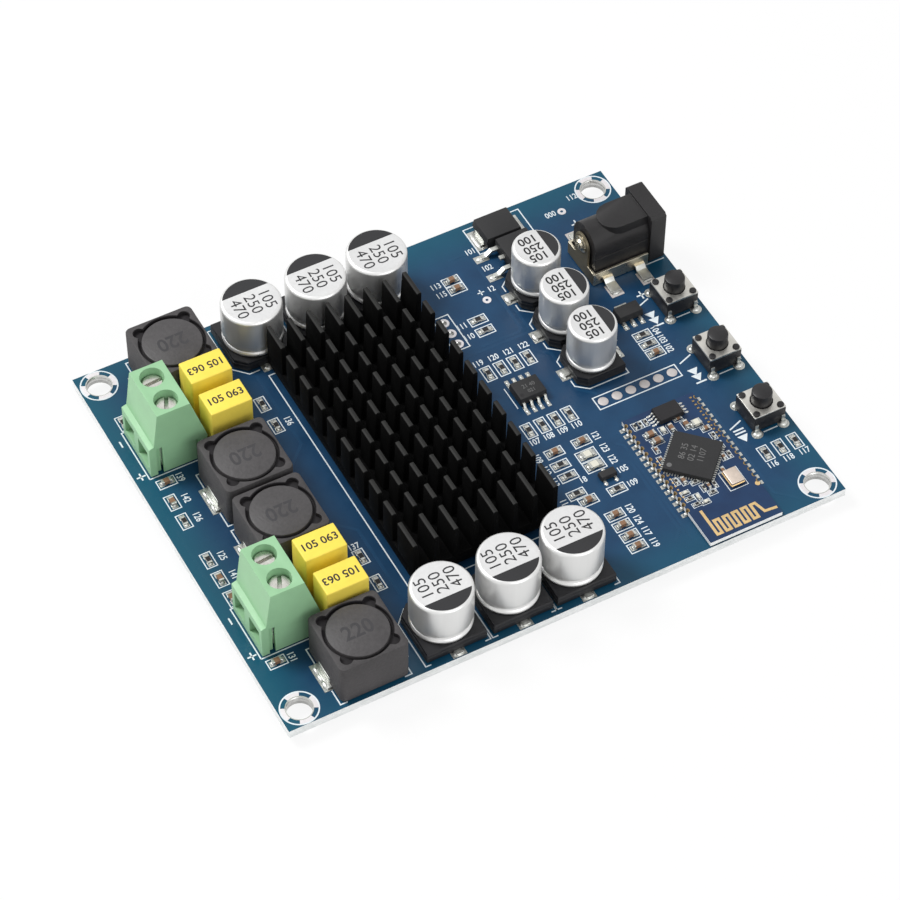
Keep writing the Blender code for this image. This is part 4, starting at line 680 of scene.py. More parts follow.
def legend():
    """White print: outlines, plain figures and signs."""
    p = Piece()

    def line(*points, width=0.2):
        p.strip(points, width, TOP, "silk")

    def box(x0, y0, x1, y1, width=0.2):
        p.strip(rectangle(x0, y0, x1, y1), width, TOP, "silk", closed=True)

    def plus(x, y, reach=0.85, width=0.26):
        line((x - reach, y), (x + reach, y), width=width)
        line((x, y - reach), (x, y + reach), width=width)

    box(SINK.x0 - 0.6, SINK.y0 - 0.5, SINK.x1 + 1.0, SINK.y1 - 1.5)
    box(21.7, 31.4, 32.05, 37.3)
    box(VIAS[0][0] - 1.35, VIAS[2][1] - 1.25, VIAS[0][0] + 1.45, VIAS[0][1] + 1.4)
    box(HEADER[0] - 1.25, HEADER_Y - 1.3, HEADER[5] + 1.15, HEADER_Y + 1.3)
    for x, y, long, wide, _, turn, _ in passive_places():
        a, b = long / 2 + 0.68, wide / 2 + 0.46
        if turn:
            a, b = b, a
        box(x - a, y - b, x + a, y + b, 0.17)
    for t, y in zip(TERMINALS, TERM_Y):
        line((t.x0 - 0.35, y - 5.2), (t.x1 - 1.6, y - 5.2))
        line((t.x0 - 0.35, y - 5.2), (t.x0 - 0.35, y + 5.3), (t.x0 + 2.0, y + 5.3))
        plus(t.x0 - 1.35, y - 4.1, 0.75)
        line((t.x0 - 1.35, y + 2.6), (t.x0 - 1.35, y + 3.9), width=0.26)
    for can_box in BIG_CANS:
        out = 1 if can_box.y > 0 else -1
        far, near = can_box.y + out * 5.5, can_box.y - out * 5.6
        reach = 1.7 if out > 0 else 4.6
        for s in (-1, 1):
            line((can_box.x + s * reach, far), (can_box.x + s * 5.55, far),
                 (can_box.x + s * 5.55, near + out * 2.2), (can_box.x + s * 3.4, near),
                 (can_box.x + s * 1.6, near))
    for can_box in SMALL_CANS:
        x, y = can_box.x, can_box.y
        for s in (-1, 1):
            line((x + 4.55, y + s * 1.6), (x + 4.55, y + s * 4.45), (x - 2.6, y + s * 4.45),
                 (x - 4.5, y + s * 2.9), (x - 4.5, y + s * 1.6))
    for coil in INDUCTORS:
        for s in (-1, 1):
            for t in (-1, 1):
                x, y = coil.x + s * 6.0, coil.y + t * 5.7
                line((x, coil.y + t * 2.8), (x, y), (x - s * 1.2, y))
    line((JACK.x1 - 4.4, JACK.y0 + 0.1), (JACK.x1 + 0.1, JACK.y0 + 0.1))
    line((JACK.x1 - 4.4, JACK.y1 - 0.1), (JACK.x1 + 0.1, JACK.y1 - 0.1))
    line((PREAMP.x - 2.9, PREAMP.y + 2.6), (PREAMP.x - 2.9, PREAMP.y - 2.0), width=0.16)
    for key in KEYS:
        line((key.x + 3.4, key.y - 2.2), (key.x + 3.4, key.y + 2.2))
        for s in (-1, 1):
            line((key.x - 1.3, key.y + s * 3.3), (key.x + 1.3, key.y + s * 3.3))
        pause = key is KEYS[2]
        x, y = key.x - 4.6, key.y - (3.0 if pause else 1.0)
        for shift in (0.0,) if pause else (0.0, -1.3):
            p.prism([(x - 0.95, y + shift + 0.7), (x, y + shift - 0.75), (x + 0.95, y + shift + 0.7)],
                    TOP, TOP + FILM, "silk")
        for shift in (1.25, 1.9) if pause else (-2.3,):
            line((x - 0.95, y + shift), (x + 0.95, y + shift), width=0.3)
        line((x - 1.2, y + 2.5), (x + 1.3, y + 3.4), width=0.24)
    plus(40.6, KEYS[0].y + 3.6)
    plus(39.0, 29.9)
    plus(17.8, 24.0, 0.6, 0.2)

    down = -QUARTER
    x = SINK.x1 + 3.9
    labels = [("112", 41.2, 35.4, 0.0), ("000", 36.2, 33.6, 0.0), ("12", 19.7, 23.9, 0.0),
              ("18", 13.3, -17.6, 0.0), ("102", 21.3, 28.2, 0.0), ("101", 20.5, 32.6, 0.0),
              ("11", 31.9, 5.2, 0.0), ("105", 19.8, -18.6, 0.0), ("109", 19.8, -21.7, 0.0),
              ("114", 8.4, -20.4, down), ("109", x, -10.6, down), ("112", x, -13.3, down),
              ("113", x, -15.9, down), ("121", 19.4, -10.8, down), ("123", 19.4, -13.5, down),
              ("122", 19.4, -16.1, down), ("113", 11.9, 28.5, 0.0), ("115", 11.9, 26.5, 0.0),
              ("111", 11.6, 19.0, 0.0), ("110", 11.6, 16.5, 0.0), ("139", -41.9, 12.6, down),
              ("142", -42.9, 8.4, down), ("126", -42.9, 4.2, down), ("125", -42.9, -4.3, down),
              ("141", -42.9, -8.4, down), ("131", -42.0, -26.4, down), ("136", -21.9, 14.7, down),
              ("137", -24.3, -12.4, 0.0)]
    for i in range(4):
        labels.append((str(119 + i), SINK.x1 + 5.0 + i * 2.75, 10.9, 0.0))
        labels.append((str(107 + i), SINK.x1 + 5.2 + i * 2.5, -7.45, 0.0))
        labels.append((("120", "124", "117", "119")[i], ROW_END + 8.9, NEAR_ROW + 6.2 - i * 2.5, down))
    for i in range(3):
        labels.append((("116", "118", "117")[i], KEYS[0].x - 3.4 + i * 2.9, KEYS[2].y - 9.6, 0.0))
        labels.append((("104", "103", "102")[i], REGULATOR.x + 2.4, REGULATOR_Y - 4.8 - i * 2.1, down))
    for words, x, y, turn in labels:
        p.text(words, x, y, TOP + FILM / 2, 1.6, "silk", turn, FILM, 0.8, 0.015)
    p.done("legend")


# Capacitors
def can(node, box, turn, numbers, weight, key):
    """A drawn can with a rolled groove, a round rim, a dark segment and three
    lines of figures that read away from it. The segment is at the turned +X."""
    p = Piece()
    r = box.wide / 2
    foot, top = box.z0, box.z1
    rim, size = 0.6, 0.55
    profile = [(r - 0.55, foot), (r - 0.3, foot + 0.08), (r - 0.1, foot + 0.35), (r - 0.02, foot + 0.75)]
    for k in range(7):
        a = math.radians(-90 + 30 * k)
        profile.append((r - 0.18 - 0.2 * math.cos(a), foot + 1.5 + 0.42 * math.sin(a)))
    profile += [(r - 0.05, foot + 2.1), (r, foot + 2.35)]
    for k in range(7):
        a = math.radians(15 * k)
        profile.append((r - rim + rim * math.cos(a), top - rim + rim * math.sin(a) - 0.012))
    face = r - rim + 0.06
    p.lathe(profile, box.x, box.y, 0, "can", 72)
    p.lathe([(face, 0.0), (face, 0.008)], box.x, box.y, top - 0.016, "can_top", 72)
    start = math.acos(0.46)
    edge = face + 0.1
    segment = [(edge * math.cos(start * (1 - i / 12)), edge * math.sin(start * (1 - i / 12)))
               for i in range(25)]
    at = Matrix.Translation((box.x, box.y, top)) @ Matrix.Rotation(turn, 4, "Z")
    p.prism(segment, -0.03, 0.0, "ink", frame_=at)
    for row, words in enumerate(numbers):
        spot = at @ Vector((-0.16 * r, (row - 1) * 0.9 * size * r, -0.006))
        p.text(words, spot.x, spot.y, spot.z, r * size, key, turn + math.pi, 0.012, 1.0, weight)
    p.done(node + "_drawn", nodes=node)


def reach_of(outline, direction):
    """Distance from the middle to an outline along a direction."""
    best = 0.0
    for k in range(len(outline)):
        a, b = Vector(outline[k]), Vector(outline[(k + 1) % len(outline)])
        e = b - a
        den = direction.x * e.y - direction.y * e.x
        if abs(den) < 1e-9:
            continue
        s = (a.x * e.y - a.y * e.x) / den
        u = (a.x * direction.y - a.y * direction.x) / den
        if s > 0 and -1e-6 <= u <= 1 + 1e-6:
            best = s if best == 0 else min(best, s)
    return best


def can_base(node, can_box, turn):
    """A moulded base with a raised lip, two cut corners and two soldered lugs.
    The cut corners are at the turned +X."""
    box = Place(node)
    size = min(box.long, box.wide)
    x, y = can_box.x, can_box.y
    p = Piece()
    h, cut, n = size / 2, size * 0.17, 96
    at = Matrix.Translation((x, y, 0)) @ Matrix.Rotation(turn, 4, "Z")
    plan = [(h - cut, -h), (h, -h + cut), (h, h - cut), (h - cut, h), (-h, h), (-h, -h)]
    p.prism(plan, SEAT, SEAT + 1.28, "base", 0.12, 2, at)
    rays = [Vector((math.cos(2 * math.pi * i / n), math.sin(2 * math.pi * i / n))) for i in range(n)]
    outer = [reach_of(plan, d) * 0.985 for d in rays]
    bore = can_box.wide / 2 - 0.28

    def loop(lengths, z):
        return [(d.x * r, d.y * r, z) for d, r in zip(rays, lengths)]

    p.rings([loop(outer, SEAT + 1.25), loop(outer, SEAT + 1.8), loop([o - 0.08 for o in outer], SEAT + 1.9),
             loop([min(o - 0.1, bore + 0.12) for o in outer], SEAT + 1.9), loop([bore] * n, SEAT + 1.78),
             loop([bore] * n, SEAT + 1.6)], "base", False, True, at)
    # The pads end short of the board's edge
    start = h - 0.85
    end = min(h + 1.55, BOARD.y1 - abs(y) - 0.15)
    for s in (-1, 1):
        lug = at @ Vector((s * (h + 0.3), 0, SEAT - 0.05))
        pad = at @ Vector((s * (start + end) / 2, 0, TOP))
        drop = at @ Vector((s * (end - 0.66), 0, TOP + 0.04))
        p.block(*lug, 1.2, 1.2, 0.3, "tin", turn, 0.05)
        p.pad(pad.x, pad.y, end - start, 2.4, turn=turn)
        p.bead(*drop, 0.66, 1.0, 0.42, steps=16, turn=turn)
    p.done(node + "_moulding", nodes=node)


def capacitors():
    for i, box in enumerate(BIG_CANS):
        out = QUARTER if box.y > 0 else -QUARTER
        can("output_capacitor_%d_can" % (i + 1), box, out, ("105", "250", "470"), 0.0, "ink")
        can_base("output_capacitor_%d_base" % (i + 1), box, -out)
    for i, box in enumerate(SMALL_CANS):
        can("input_capacitor_%d_can" % (i + 1), box, 0.0, ("105", "250", "100"), 0.018, "small_ink")
        can_base("input_capacitor_%d_base" % (i + 1), box, math.pi)


# Heatsink
def heatsink():
    """An extruded comb cut across its fins: tapered teeth with rounded tips."""
    p = Piece()
    base, root, tip, fins, cuts = 2.2, 1.2, 0.8, 8, 9
    slot, end, ease = 1.55, 5.3, 0.12
    p.block(SINK.x, SINK.y, SINK.z0, SINK.long, SINK.wide, base, "fin", 0, 0.15, 2)
    teeth = []
    y = SINK.y0
    for i in range(cuts + 1):
        length = end if i in (0, cuts) else (SINK.wide - 2 * end - cuts * slot) / (cuts - 1)
        teeth.append((y, y + length))
        y += length + slot
    low, high = SINK.z0 + base - 0.05, SINK.z1 - 0.006
    r, squash = tip / 2, 0.55
    for i in range(fins):
        mid = SINK.x0 + root / 2 + i * (SINK.long - root) / (fins - 1)
        lean = (root - tip) / 2
        centre = mid - lean if i == 0 else mid + lean if i == fins - 1 else mid
        arc = []
        for degrees in range(0, 181, 20):
            a = math.radians(degrees)
            arc.append((centre + r * math.cos(a), high - r * squash * (1 - math.sin(a))))
        full = [(mid + root / 2, low)] + arc + [(mid - root / 2, low)]
        slim = [(centre + (u - centre) * 0.8, min(v, high - 0.1)) for u, v in full]
        crown = [(u, v + 0.006) for u, v in arc[1:-1]]
        for y0, y1 in teeth:
            loops = []
            for yy, points in ((y0, slim), (y0 + ease, full), (y1 - ease, full), (y1, slim)):
                loops.append([(u, yy, v) for u, v in reversed(points)])
            p.rings(loops, "fin")
            # Each tooth's crown strip takes the lighter black: a painted highlight along the rounded tip.
            bm = bmesh.new()
            rows = [[bm.verts.new((u, yy, v)) for u, v in crown] for yy in (y0 + ease, y1 - ease)]
            for k in range(len(crown) - 1):
                bm.faces.new((rows[0][k + 1], rows[0][k], rows[1][k], rows[1][k + 1]))
            bmesh.ops.recalc_face_normals(bm, faces=bm.faces)
            p.take(bm, "fin_tip_highlight", smooth=True)
        for (_, a1), (b0, _) in zip(teeth, teeth[1:]):
            p.block(mid, (a1 + b0) / 2, low, root - 0.02, b0 - a1 + 0.1, 0.2, "fin")
    p.done("finned_heatsink", nodes="heatsink")


# Inductors
def rounded_square(n, half, radius, z):
    """Points at even angles on a square with round corners."""
    out = []
    core = half - radius
    for i in range(n):
        t = 2 * math.pi * i / n
        c, s = math.cos(t), math.sin(t)
        k = half / max(abs(c), abs(s))
        if min(abs(k * c), abs(k * s)) > core:
            sx, sy = math.copysign(core, c), math.copysign(core, s)
            along = c * sx + s * sy
            k = along + math.sqrt(max(along * along - (sx * sx + sy * sy - radius * radius), 0))
        out.append((k * c, k * s, z))
    return out


def notched_circle(n, radius, z, notch=0.0, half_angle=10.5):
    """Points at even angles on a circle with a round notch at each corner."""
    out = []
    for i in range(n):
        degrees = 360 * i / n
        off = abs((degrees % 90) - 45) / half_angle
        r = radius + (notch * math.sqrt(1 - off * off) if off < 1 else 0.0)
        t = math.radians(degrees)
        out.append((r * math.cos(t), r * math.sin(t), z))
    return out


def inductor(index, box, turn):
    """A square ferrite shield, a drum in its round bore and corner notches."""
    p = Piece()
    n = 180
    h = box.wide / 2
    z0, z1 = SEAT, box.z1
    core_r, bore_r, deep, notch = 4.85, 5.35, 0.8, 1.12
    at = Matrix.Translation((box.x, box.y, 0))
    p.rings([rounded_square(n, h - 0.12, 0.85, z0), rounded_square(n, h, 0.9, z0 + 0.12),
             rounded_square(n, h, 0.9, z1 - 0.24), rounded_square(n, h - 0.08, 0.88, z1 - 0.07),
             rounded_square(n, h - 0.26, 0.8, z1), notched_circle(n, bore_r + 0.1, z1, notch)],
            "ferrite", True, False, at)
    # The bore's wall and floor take the darker ferrite: painted shade down in the gap.
    p.rings([notched_circle(n, bore_r + 0.1, z1, notch), notched_circle(n, bore_r, z1 - 0.1, notch),
             notched_circle(n, bore_r, z1 - deep, notch), notched_circle(n, core_r, z1 - deep)],
            "ferrite_gap_shade", False, False, at)
    p.rings([notched_circle(n, core_r, z1 - deep), notched_circle(n, core_r, z1 - 0.22),
             notched_circle(n, core_r - 0.06, z1 - 0.07), notched_circle(n, core_r - 0.2, z1)],
            "ferrite_core", False, True, at)
    p.text("220", box.x, box.y, z1 + 0.001, 3.7, "ferrite_ink", turn, 0.01, 0.9, 0.018)
    for s in (-1, 1):
        p.block(box.x + s * (h + 0.14), box.y, SEAT - 0.02, 1.0, 4.9, 0.3, "tin", 0, 0.07, 2)
        p.block(box.x + s * (h + 0.02), box.y, SEAT + 0.2, 0.14, 3.6, 1.3, "tin", 0, 0.05, 2)
        p.pad(box.x + s * (h + 0.3), box.y, 2.0, 5.4)
        for k in (-1, 0, 1):
            x, y = box.x + s * (h + 0.68), box.y + k * 1.5
            p.bead(x, y, TOP + 0.04, 0.5, 1.0, 0.4 + 0.1 * abs(k), steps=16)
    p.done("inductor_%d_shield" % index, nodes="inductor_%d" % index)


def film_capacitor(index, box, turn):
    p = Piece()
    p.block(box.x, box.y, SEAT, box.long, box.wide, box.z1 - SEAT - 0.01, "yellow", 0, 0.22, 3)
    p.text("105 063", box.x, box.y, box.z1 - 0.009, 1.95, "ink", turn, 0.01, 0.98, 0.02)
    for s in (-1, 1):
        p.lathe([(0.3, TOP - 0.02), (0.3, SEAT + 0.1)], box.x + s * TAIL, box.y, 0, "tin", 12)
    p.done("film_capacitor_%d_case" % index, nodes="film_capacitor_%d" % index)


def switch(index, cover):
    """A tact switch: moulded body, steel cover, legs in solder and a stem."""
    x, y = cover.x, cover.y
    plate = cover.z1
    p = Piece()
    p.block(x, y, SEAT, 5.8, 5.8, plate - SEAT - 0.3, "key", 0, 0.18, 2)
    for sx in (-1, 1):
        for sy in (-1, 1):
            leg = x + sx * LEG_X
            p.block(leg, y + sy * 2.98, TOP - 0.05, 0.6, 0.22, 1.9, "tin", 0, 0.06, 2)
            p.block(leg, y + sy * 3.12, TOP, 0.75, 0.4, 0.9, "tin", 0, 0.08, 2)
            p.bead(leg, y + sy * LEG_Y, TOP, 0.8, 0.62, 0.45, steps=16)
            p.ring(leg, y + sy * LEG_Y, 0.5, 0.95, TOP, "tin", 0.04, steps=24)
            p.lathe([(0.4, -0.4), (0.4, 0.02), (0.58, 0.05), (0.56, 0.18), (0.4, 0.24)],
                    x + sx * 2.2, y + sy * 2.2, plate, "key", 20)
    p.done("switch_body_%d_moulding" % index, nodes="switch_body_%d" % index)
    softened("switch_cover_%d" % index, "switch_cover_%d_plate" % index, ("cover",), 0.06)
    node = "button_%d" % index
    stem = Place(node)
    r, top = 1.7, stem.z1 - 0.004
    b = Piece()
    b.lathe([(stem.wide / 2, stem.z0), (stem.wide / 2, stem.z0 + 0.5), (r, stem.z0 + 0.52),
             (r - 0.02, top - 0.3), (r - 0.08, top - 0.1), (r - 0.24, top)], x, y, 0, "key", 48)
    b.lathe([(r - 0.24, 0.0), (r - 0.45, -0.06), (0.2, -0.08)], x, y, top + 0.004, "key", 48, caps=False)
    b.done("button_%d_stem" % index, node, node)


# Chips
def preamp():
    p = Piece()
    x, y, body = PREAMP.x, PREAMP.y, 3.9
    p.block(x, y, SEAT + 0.12, PREAMP.long, body, PREAMP.z1 - SEAT - 0.13, "chip", 0, 0.12, 2, 0.95)
    p.dot(x - 1.7, y - 1.1, PREAMP.z1 - 0.012, 0.35)
    p.text("21 40", x + 0.2, y + 0.3, PREAMP.z1 - 0.008, 1.1, "mark", 0, 0.006, 0.9, 0.0)
    p.text("021", x + 0.2, y - 0.8, PREAMP.z1 - 0.008, 1.0, "mark", 0, 0.006, 0.9, 0.0)
    for side in (-1, 1):
        for i in range(4):
            lx = x + (i - 1.5) * PITCH
            p.lead(lx, y + side * body / 2, SEAT - 0.12, side * QUARTER, 1.2, 0.85, 0.44, 0.18, 0.6)
            p.pad(lx, y + side * 2.95, 0.62, 1.9)
            p.bead(lx, y + side * 3.2, TOP + 0.03, 0.28, 0.6, 0.2, steps=10)
    p.done("preamp_package", nodes="preamp_chip")


def linear_regulator():
    p = Piece()
    x, y = REGULATOR.x, REGULATOR_Y
    p.block(x, y, SEAT, 4.5, 2.5, REGULATOR.z1 - SEAT - 0.01, "chip", 0, 0.12, 2, 0.93)
    for i in (-1, 0, 1):
        p.block(x + 1.5 * i, y - 1.6, SEAT - 0.1, 0.45, 1.0, 0.35, "tin", 0, 0.05)
        p.pad(x + 1.5 * i, y - 2.0, 0.8, 1.4)
        p.bead(x + 1.5 * i, y - 2.25, TOP + 0.03, 0.35, 0.45, 0.25, steps=10)
    p.block(x, y + 1.5, SEAT - 0.1, 1.7, 0.9, 0.35, "tin", 0, 0.05)
    p.pad(x, y + 1.9, 2.2, 1.3)
    p.bead(x, y + 2.05, TOP + 0.03, 0.95, 0.4, 0.25)
    p.done("linear_regulator_package", nodes="linear_regulator")


def power_diode():
    box = Place("power_diode")
    p = Piece()
    x, y, half, high = box.x, box.y, 3.35, box.z1 - SEAT
    slope = half - 0.3
    side = [(-half, high / 2), (-slope, 0.1), (slope, 0.1), (half, high / 2), (slope, high), (-slope, high)]
    at = Matrix.Translation((x, box.y1, SEAT)) @ Matrix.Rotation(QUARTER, 4, "X")
    p.prism(side, 0, box.wide, "chip", 0.1, 2, at)
    for s in (-1, 1):
        p.block(x + s * 3.45, y, SEAT - 0.1, 1.1, 3.0, 0.3, "tin", 0, 0.06)
        p.block(x + s * 3.2, y, SEAT + 0.1, 0.25, 2.9, 1.0, "tin", 0, 0.05)
        p.pad(x + s * 3.3, y, 2.6, 4.4)
        p.bead(x + s * 4.0, y, TOP + 0.04, 0.5, 1.9, 0.3, steps=20)
    p.done("power_diode_package", nodes="power_diode")


def voltage_regulator():
    box = Place("voltage_regulator")
    p = Piece()
    x, y, high = box.x1 - 4.2, box.y, box.z1 - SEAT
    p.block(x, y, SEAT + 0.1, 6.0, box.wide, high - 0.11, "chip", 0, 0.15, 2, 0.96)
    p.dot(x - 2.0, y - 2.3, box.z1 - 0.012, 0.45)
    for s in (-1, 1):
        p.lead(x - 3.0, y + s * 2.25, SEAT - 0.12, math.pi, 4.3, 1.3, 0.8, 0.45, 0.9)
        p.pad(x - 5.9, y + s * 2.25, 2.4, 1.5)
        p.bead(x - 6.0, y + s * 2.25, TOP + 0.03, 0.9, 0.6, 0.3, steps=12)
    p.block(x + 3.2, y, SEAT, 2.0, 5.3, 0.5, "tin", 0, 0.08)
    p.block(x - 3.0, y, SEAT + 0.8, 1.6, 0.8, 0.5, "tin", 0, 0.05)
    p.pad(x + 3.4, y, 2.3, 6.0)
    p.done("voltage_regulator_package", nodes="voltage_regulator")


def amplifier():
    box = Place("amplifier_chip")
    p = Piece()
    p.block(box.x, box.y, SEAT + 0.1, 6.1, box.wide, 0.95, "chip", 0, 0.08, 1, 0.98)
    for s in (-1, 1):
        turn = 0.0 if s > 0 else math.pi
        for i in range(14):
            p.lead(box.x + s * 3.05, box.y + (i - 6.5) * 0.65, SEAT - 0.1, turn, 1.0, 0.6, 0.24, 0.14, 0.4)
    p.done("amplifier_package", nodes="amplifier_chip")


# Wireless module
BITE = 0.32
MODULE_PADS = [MODULE.y1 - 1.1 - PITCH * i for i in range(16)]


def scalloped(x, inward, rows, up):
    """One long side of the module with its half-round plated cuts."""
    out = []
    for y in rows:
        out.append((x, y - up * BITE))
        for degrees in (30, 60, 90, 120, 150):
            a = math.radians(degrees)
            out.append((x + inward * BITE * math.sin(a), y - up * BITE * math.cos(a)))
        out.append((x, y + up * BITE))
    return out


def module_board():
    outer = [(MODULE.x0, MODULE.y0), (MODULE.x1, MODULE.y0)]
    outer += scalloped(MODULE.x1, -1, reversed(MODULE_PADS), 1)
    outer += [(MODULE.x1, MODULE.y1), (MODULE.x0, MODULE.y1)]
    outer += scalloped(MODULE.x0, 1, MODULE_PADS, -1)
    slab("module_slab", outer, [], MODULE.z0, MODULE.z1, ("module_mask", "laminate", "plated"),
         "wireless_module")
    p = Piece()
    for y in MODULE_PADS:
        for x, s, size in ((MODULE.x0, 1, 1.0), (MODULE.x1, -1, 0.7)):
            start = -90 if s > 0 else 90
            p.ring(x, y, BITE, BITE + 0.1, MODULE.z1, "dull_gold", 0.03, start + 20, start + 160, 28)
            p.ring(x, y, BITE - 0.06, BITE + 0.005, MODULE.z0, "dull_gold", MODULE.high, start,
                   start + 180, 28)
            p.pad(x - s * 0.3, y, 1.2, 0.72)
            p.bead(x - s * 0.2, y, TOP + 0.04, 0.5 * size, 0.34 * size, 0.55 * size, steps=12)
    p.done("module_edge_joints")


def antenna(p):
    """A printed meander with a straight feed and a tail."""
    low, high, step = MODULE.y0 + 0.95, MODULE.y0 + 3.5, 0.82
    x = MODULE.x0 + 1.8
    path = [(x, low + 5.2), (x, low), (x + step, low)]
    x += step
    for i in range(4):
        path += [(x, high), (x + step, high), (x + step, low), (x + 2 * step, low)]
        x += 2 * step
    path += [(x, high), (x + step, high), (x + 1.7 * step, low + 0.5), (MODULE.x1 - 0.2, low + 0.3)]
    p.strip(path, 0.48, MODULE.z1, "gold", 0.03)
    p.lathe([(0.42, 0), (0.42, 0.03)], MODULE.x1 - 0.45, MODULE.y0 + 6.65, MODULE.z1, "gold", 24)


def module_parts():
    p = Piece()
    z = MODULE.z1
    antenna(p)
    # Parts by their distance from the module's left and far edges
    chip = (0.95, 0.5, 0.42)
    parts = [
        (8.05, 3.65, 1.0, 0.6, 0.5, 0.0, "ceramic"), (8.55, 5.35, 1.3, 0.8, 0.7, QUARTER, "ceramic"),
        (10.05, 5.95, 1.5, 1.1, 0.8, 0.0, "cream"), (10.95, 7.45, 1.0, 0.7, 0.5, 0.0, "ceramic"),
        (4.75, 4.65, 1.0, 0.7, 0.6, QUARTER, "cream"), (6.15, 4.85, 1.4, 0.7, 0.6, QUARTER, "ceramic"),
        (2.55, 4.55, 1.6, 0.9, 0.8, 0.0, "ceramic"), (2.85, 6.15, 1.6, 0.9, 0.8, 0.0, "ceramic"),
        (1.85, 7.55, *chip, QUARTER, "ceramic"), (2.15, 1.95, *chip, QUARTER, "res"),
        (3.15, 1.95, *chip, QUARTER, "res"), (1.25, 1.95, *chip, QUARTER, "res"),
        (5.35, 18.95, *chip, 0.0, "res"), (8.95, 15.95, *chip, QUARTER, "ceramic"),
        (2.45, 14.85, 1.2, 0.6, 0.55, QUARTER, "ceramic"), (1.35, 14.45, *chip, QUARTER, "res"),
        (4.55, 17.55, *chip, QUARTER, "res"), (5.45, 17.55, *chip, QUARTER, "ceramic"),
        (6.35, 17.65, *chip, QUARTER, "res"), (1.45, 17.05, *chip, 0.0, "cream"),
        (1.55, 18.35, *chip, 0.0, "res"), (2.85, 18.65, *chip, QUARTER, "cream"),
        (1.95, 19.85, *chip, 0.0, "res"), (3.45, 20.05, *chip, 0.0, "cream"),
        (11.25, 9.25, *chip, QUARTER, "res"), (10.45, 13.65, *chip, QUARTER, "ceramic"),
        (11.45, 13.65, *chip, QUARTER, "res"), (3.95, 15.95, *chip, 0.0, "res"),
        (1.45, 9.65, *chip, QUARTER, "ceramic"), (11.35, 11.35, *chip, QUARTER, "res"),
    ]
    for dx, dy, long, wide, high, turn, kind in parts:
        x, y = MODULE.x0 + dx, MODULE.y1 - dy
        two_ended(p, z, x, y, long, wide, high, turn, kind)
        a, b = long / 2 + 0.28, wide / 2 + 0.2
        if turn:
            a, b = b, a
        p.strip(rectangle(x - a, y - b, x + a, y + b), 0.09, z, "silk", FILM, True)
    for i in range(12):
        p.block(MODULE.x1 - 0.85, MODULE.y1 - 0.9 - 0.8 * i, z, 0.4, 0.3, 0.1, "dull_gold", 0, 0.03)
        p.block(MODULE.x0 + 0.85, MODULE.y1 - 9.6 - 0.8 * i, z, 0.3, 0.3, 0.03, "gold")
    p.done("module_parts")


def radio_chip():
    """The large square chip, turned by an eighth, with its pins on all four sides."""
    box = Place("radio_chip")
    side = box.long / math.sqrt(2)
    eighth = math.pi / 4
    at = Matrix.Translation((box.x, box.y, 0)) @ Matrix.Rotation(eighth, 4, "Z")
    p = Piece()
    p.block(box.x, box.y, box.z0, side, side, box.high - 0.008, "chip", eighth, 0.06)
    for k in range(4):
        for i in range(17):
            pin = at @ Matrix.Rotation(k * QUARTER, 4, "Z") @ Vector((side / 2 + 0.12, (i - 8) * 0.44, 0))
            p.block(pin.x, pin.y, MODULE.z1, 0.6, 0.22, 0.2, "tin", eighth + k * QUARTER)
    mark = at @ Vector((-side / 2 + 0.9, side / 2 - 0.9, 0))
    p.dot(mark.x, mark.y, box.z1 - 0.01, 0.42, "mark")
    for row, words in enumerate(("86 35", "02 14", "1107")):
        spot = at @ Vector((0.3, 1.6 - 1.5 * row, 0))
        p.text(words, spot.x, spot.y, box.z1 - 0.006, 1.5, "mark", eighth, 0.006, 0.95, 0.0)
    p.done("radio_package", nodes="radio_chip")


def memory_chip():
    box = Place("memory_chip")
    p = Piece()
    p.block(box.x, box.y, box.z0, 4.4, box.wide, box.high - 0.008, "black", 0, 0.08, 1, 0.96)
    p.dot(box.x - 1.5, box.y - 0.8, box.z1 - 0.01, 0.25)
    for s in (-1, 1):
        turn = 0.0 if s > 0 else math.pi
        for i in range(4):
            y = box.y + (i - 1.5) * 0.65
            p.lead(box.x + s * 2.15, y, MODULE.z1, turn, 0.9, 0.6, 0.3, 0.13, 0.5)
            p.bead(box.x + s * 3.0, y, MODULE.z1, 0.35, 0.2, 0.16, steps=10)
    p.done("memory_package", nodes="memory_chip")


def crystal():
    box = Place("crystal")
    p = Piece()
    p.block(box.x, box.y, box.z0, box.long, box.wide, 0.34, "gold", 0, 0.1, 1)
    p.block(box.x, box.y, box.z0 + 0.3, box.long - 0.2, box.wide - 0.2, box.high - 0.3, "lid", 0, 0.12, 3)
    p.strip(rectangle(box.x0 - 0.35, box.y0 - 0.35, box.x1 + 0.35, box.y1 + 0.35), 0.12, MODULE.z1, "silk",
            FILM, True)
    p.done("crystal_lid", nodes="crystal")


# Sockets and terminals
def terminals():
    for index, box in enumerate(TERMINALS, 1):
        bar_x, middle, bar_z = box.x0 + 4.55, TERM_Y[index - 1], TOP + 5.8

        def contact(c):
            from_pole = abs(abs(c.y - middle) - POLE)
            return int(abs(c.z - bar_z) < 0.5 and abs(c.x - bar_x) < 2.5 and from_pole < 1.3)

        softened("terminal_housing_%d" % index, "terminal_%d_moulding" % index, ("green", "tin"), 0.14,
                 pick=contact)
    for k in range(1, 5):
        softened("terminal_screw_%d" % k, "screw_%d_turned" % k, ("steel",), 0.06, "screw_%d" % k,
                 40)
        softened("clamp_cage_%d" % k, "cage_%d_bent" % k, ("steel",), 0.08, "cage_%d" % k)


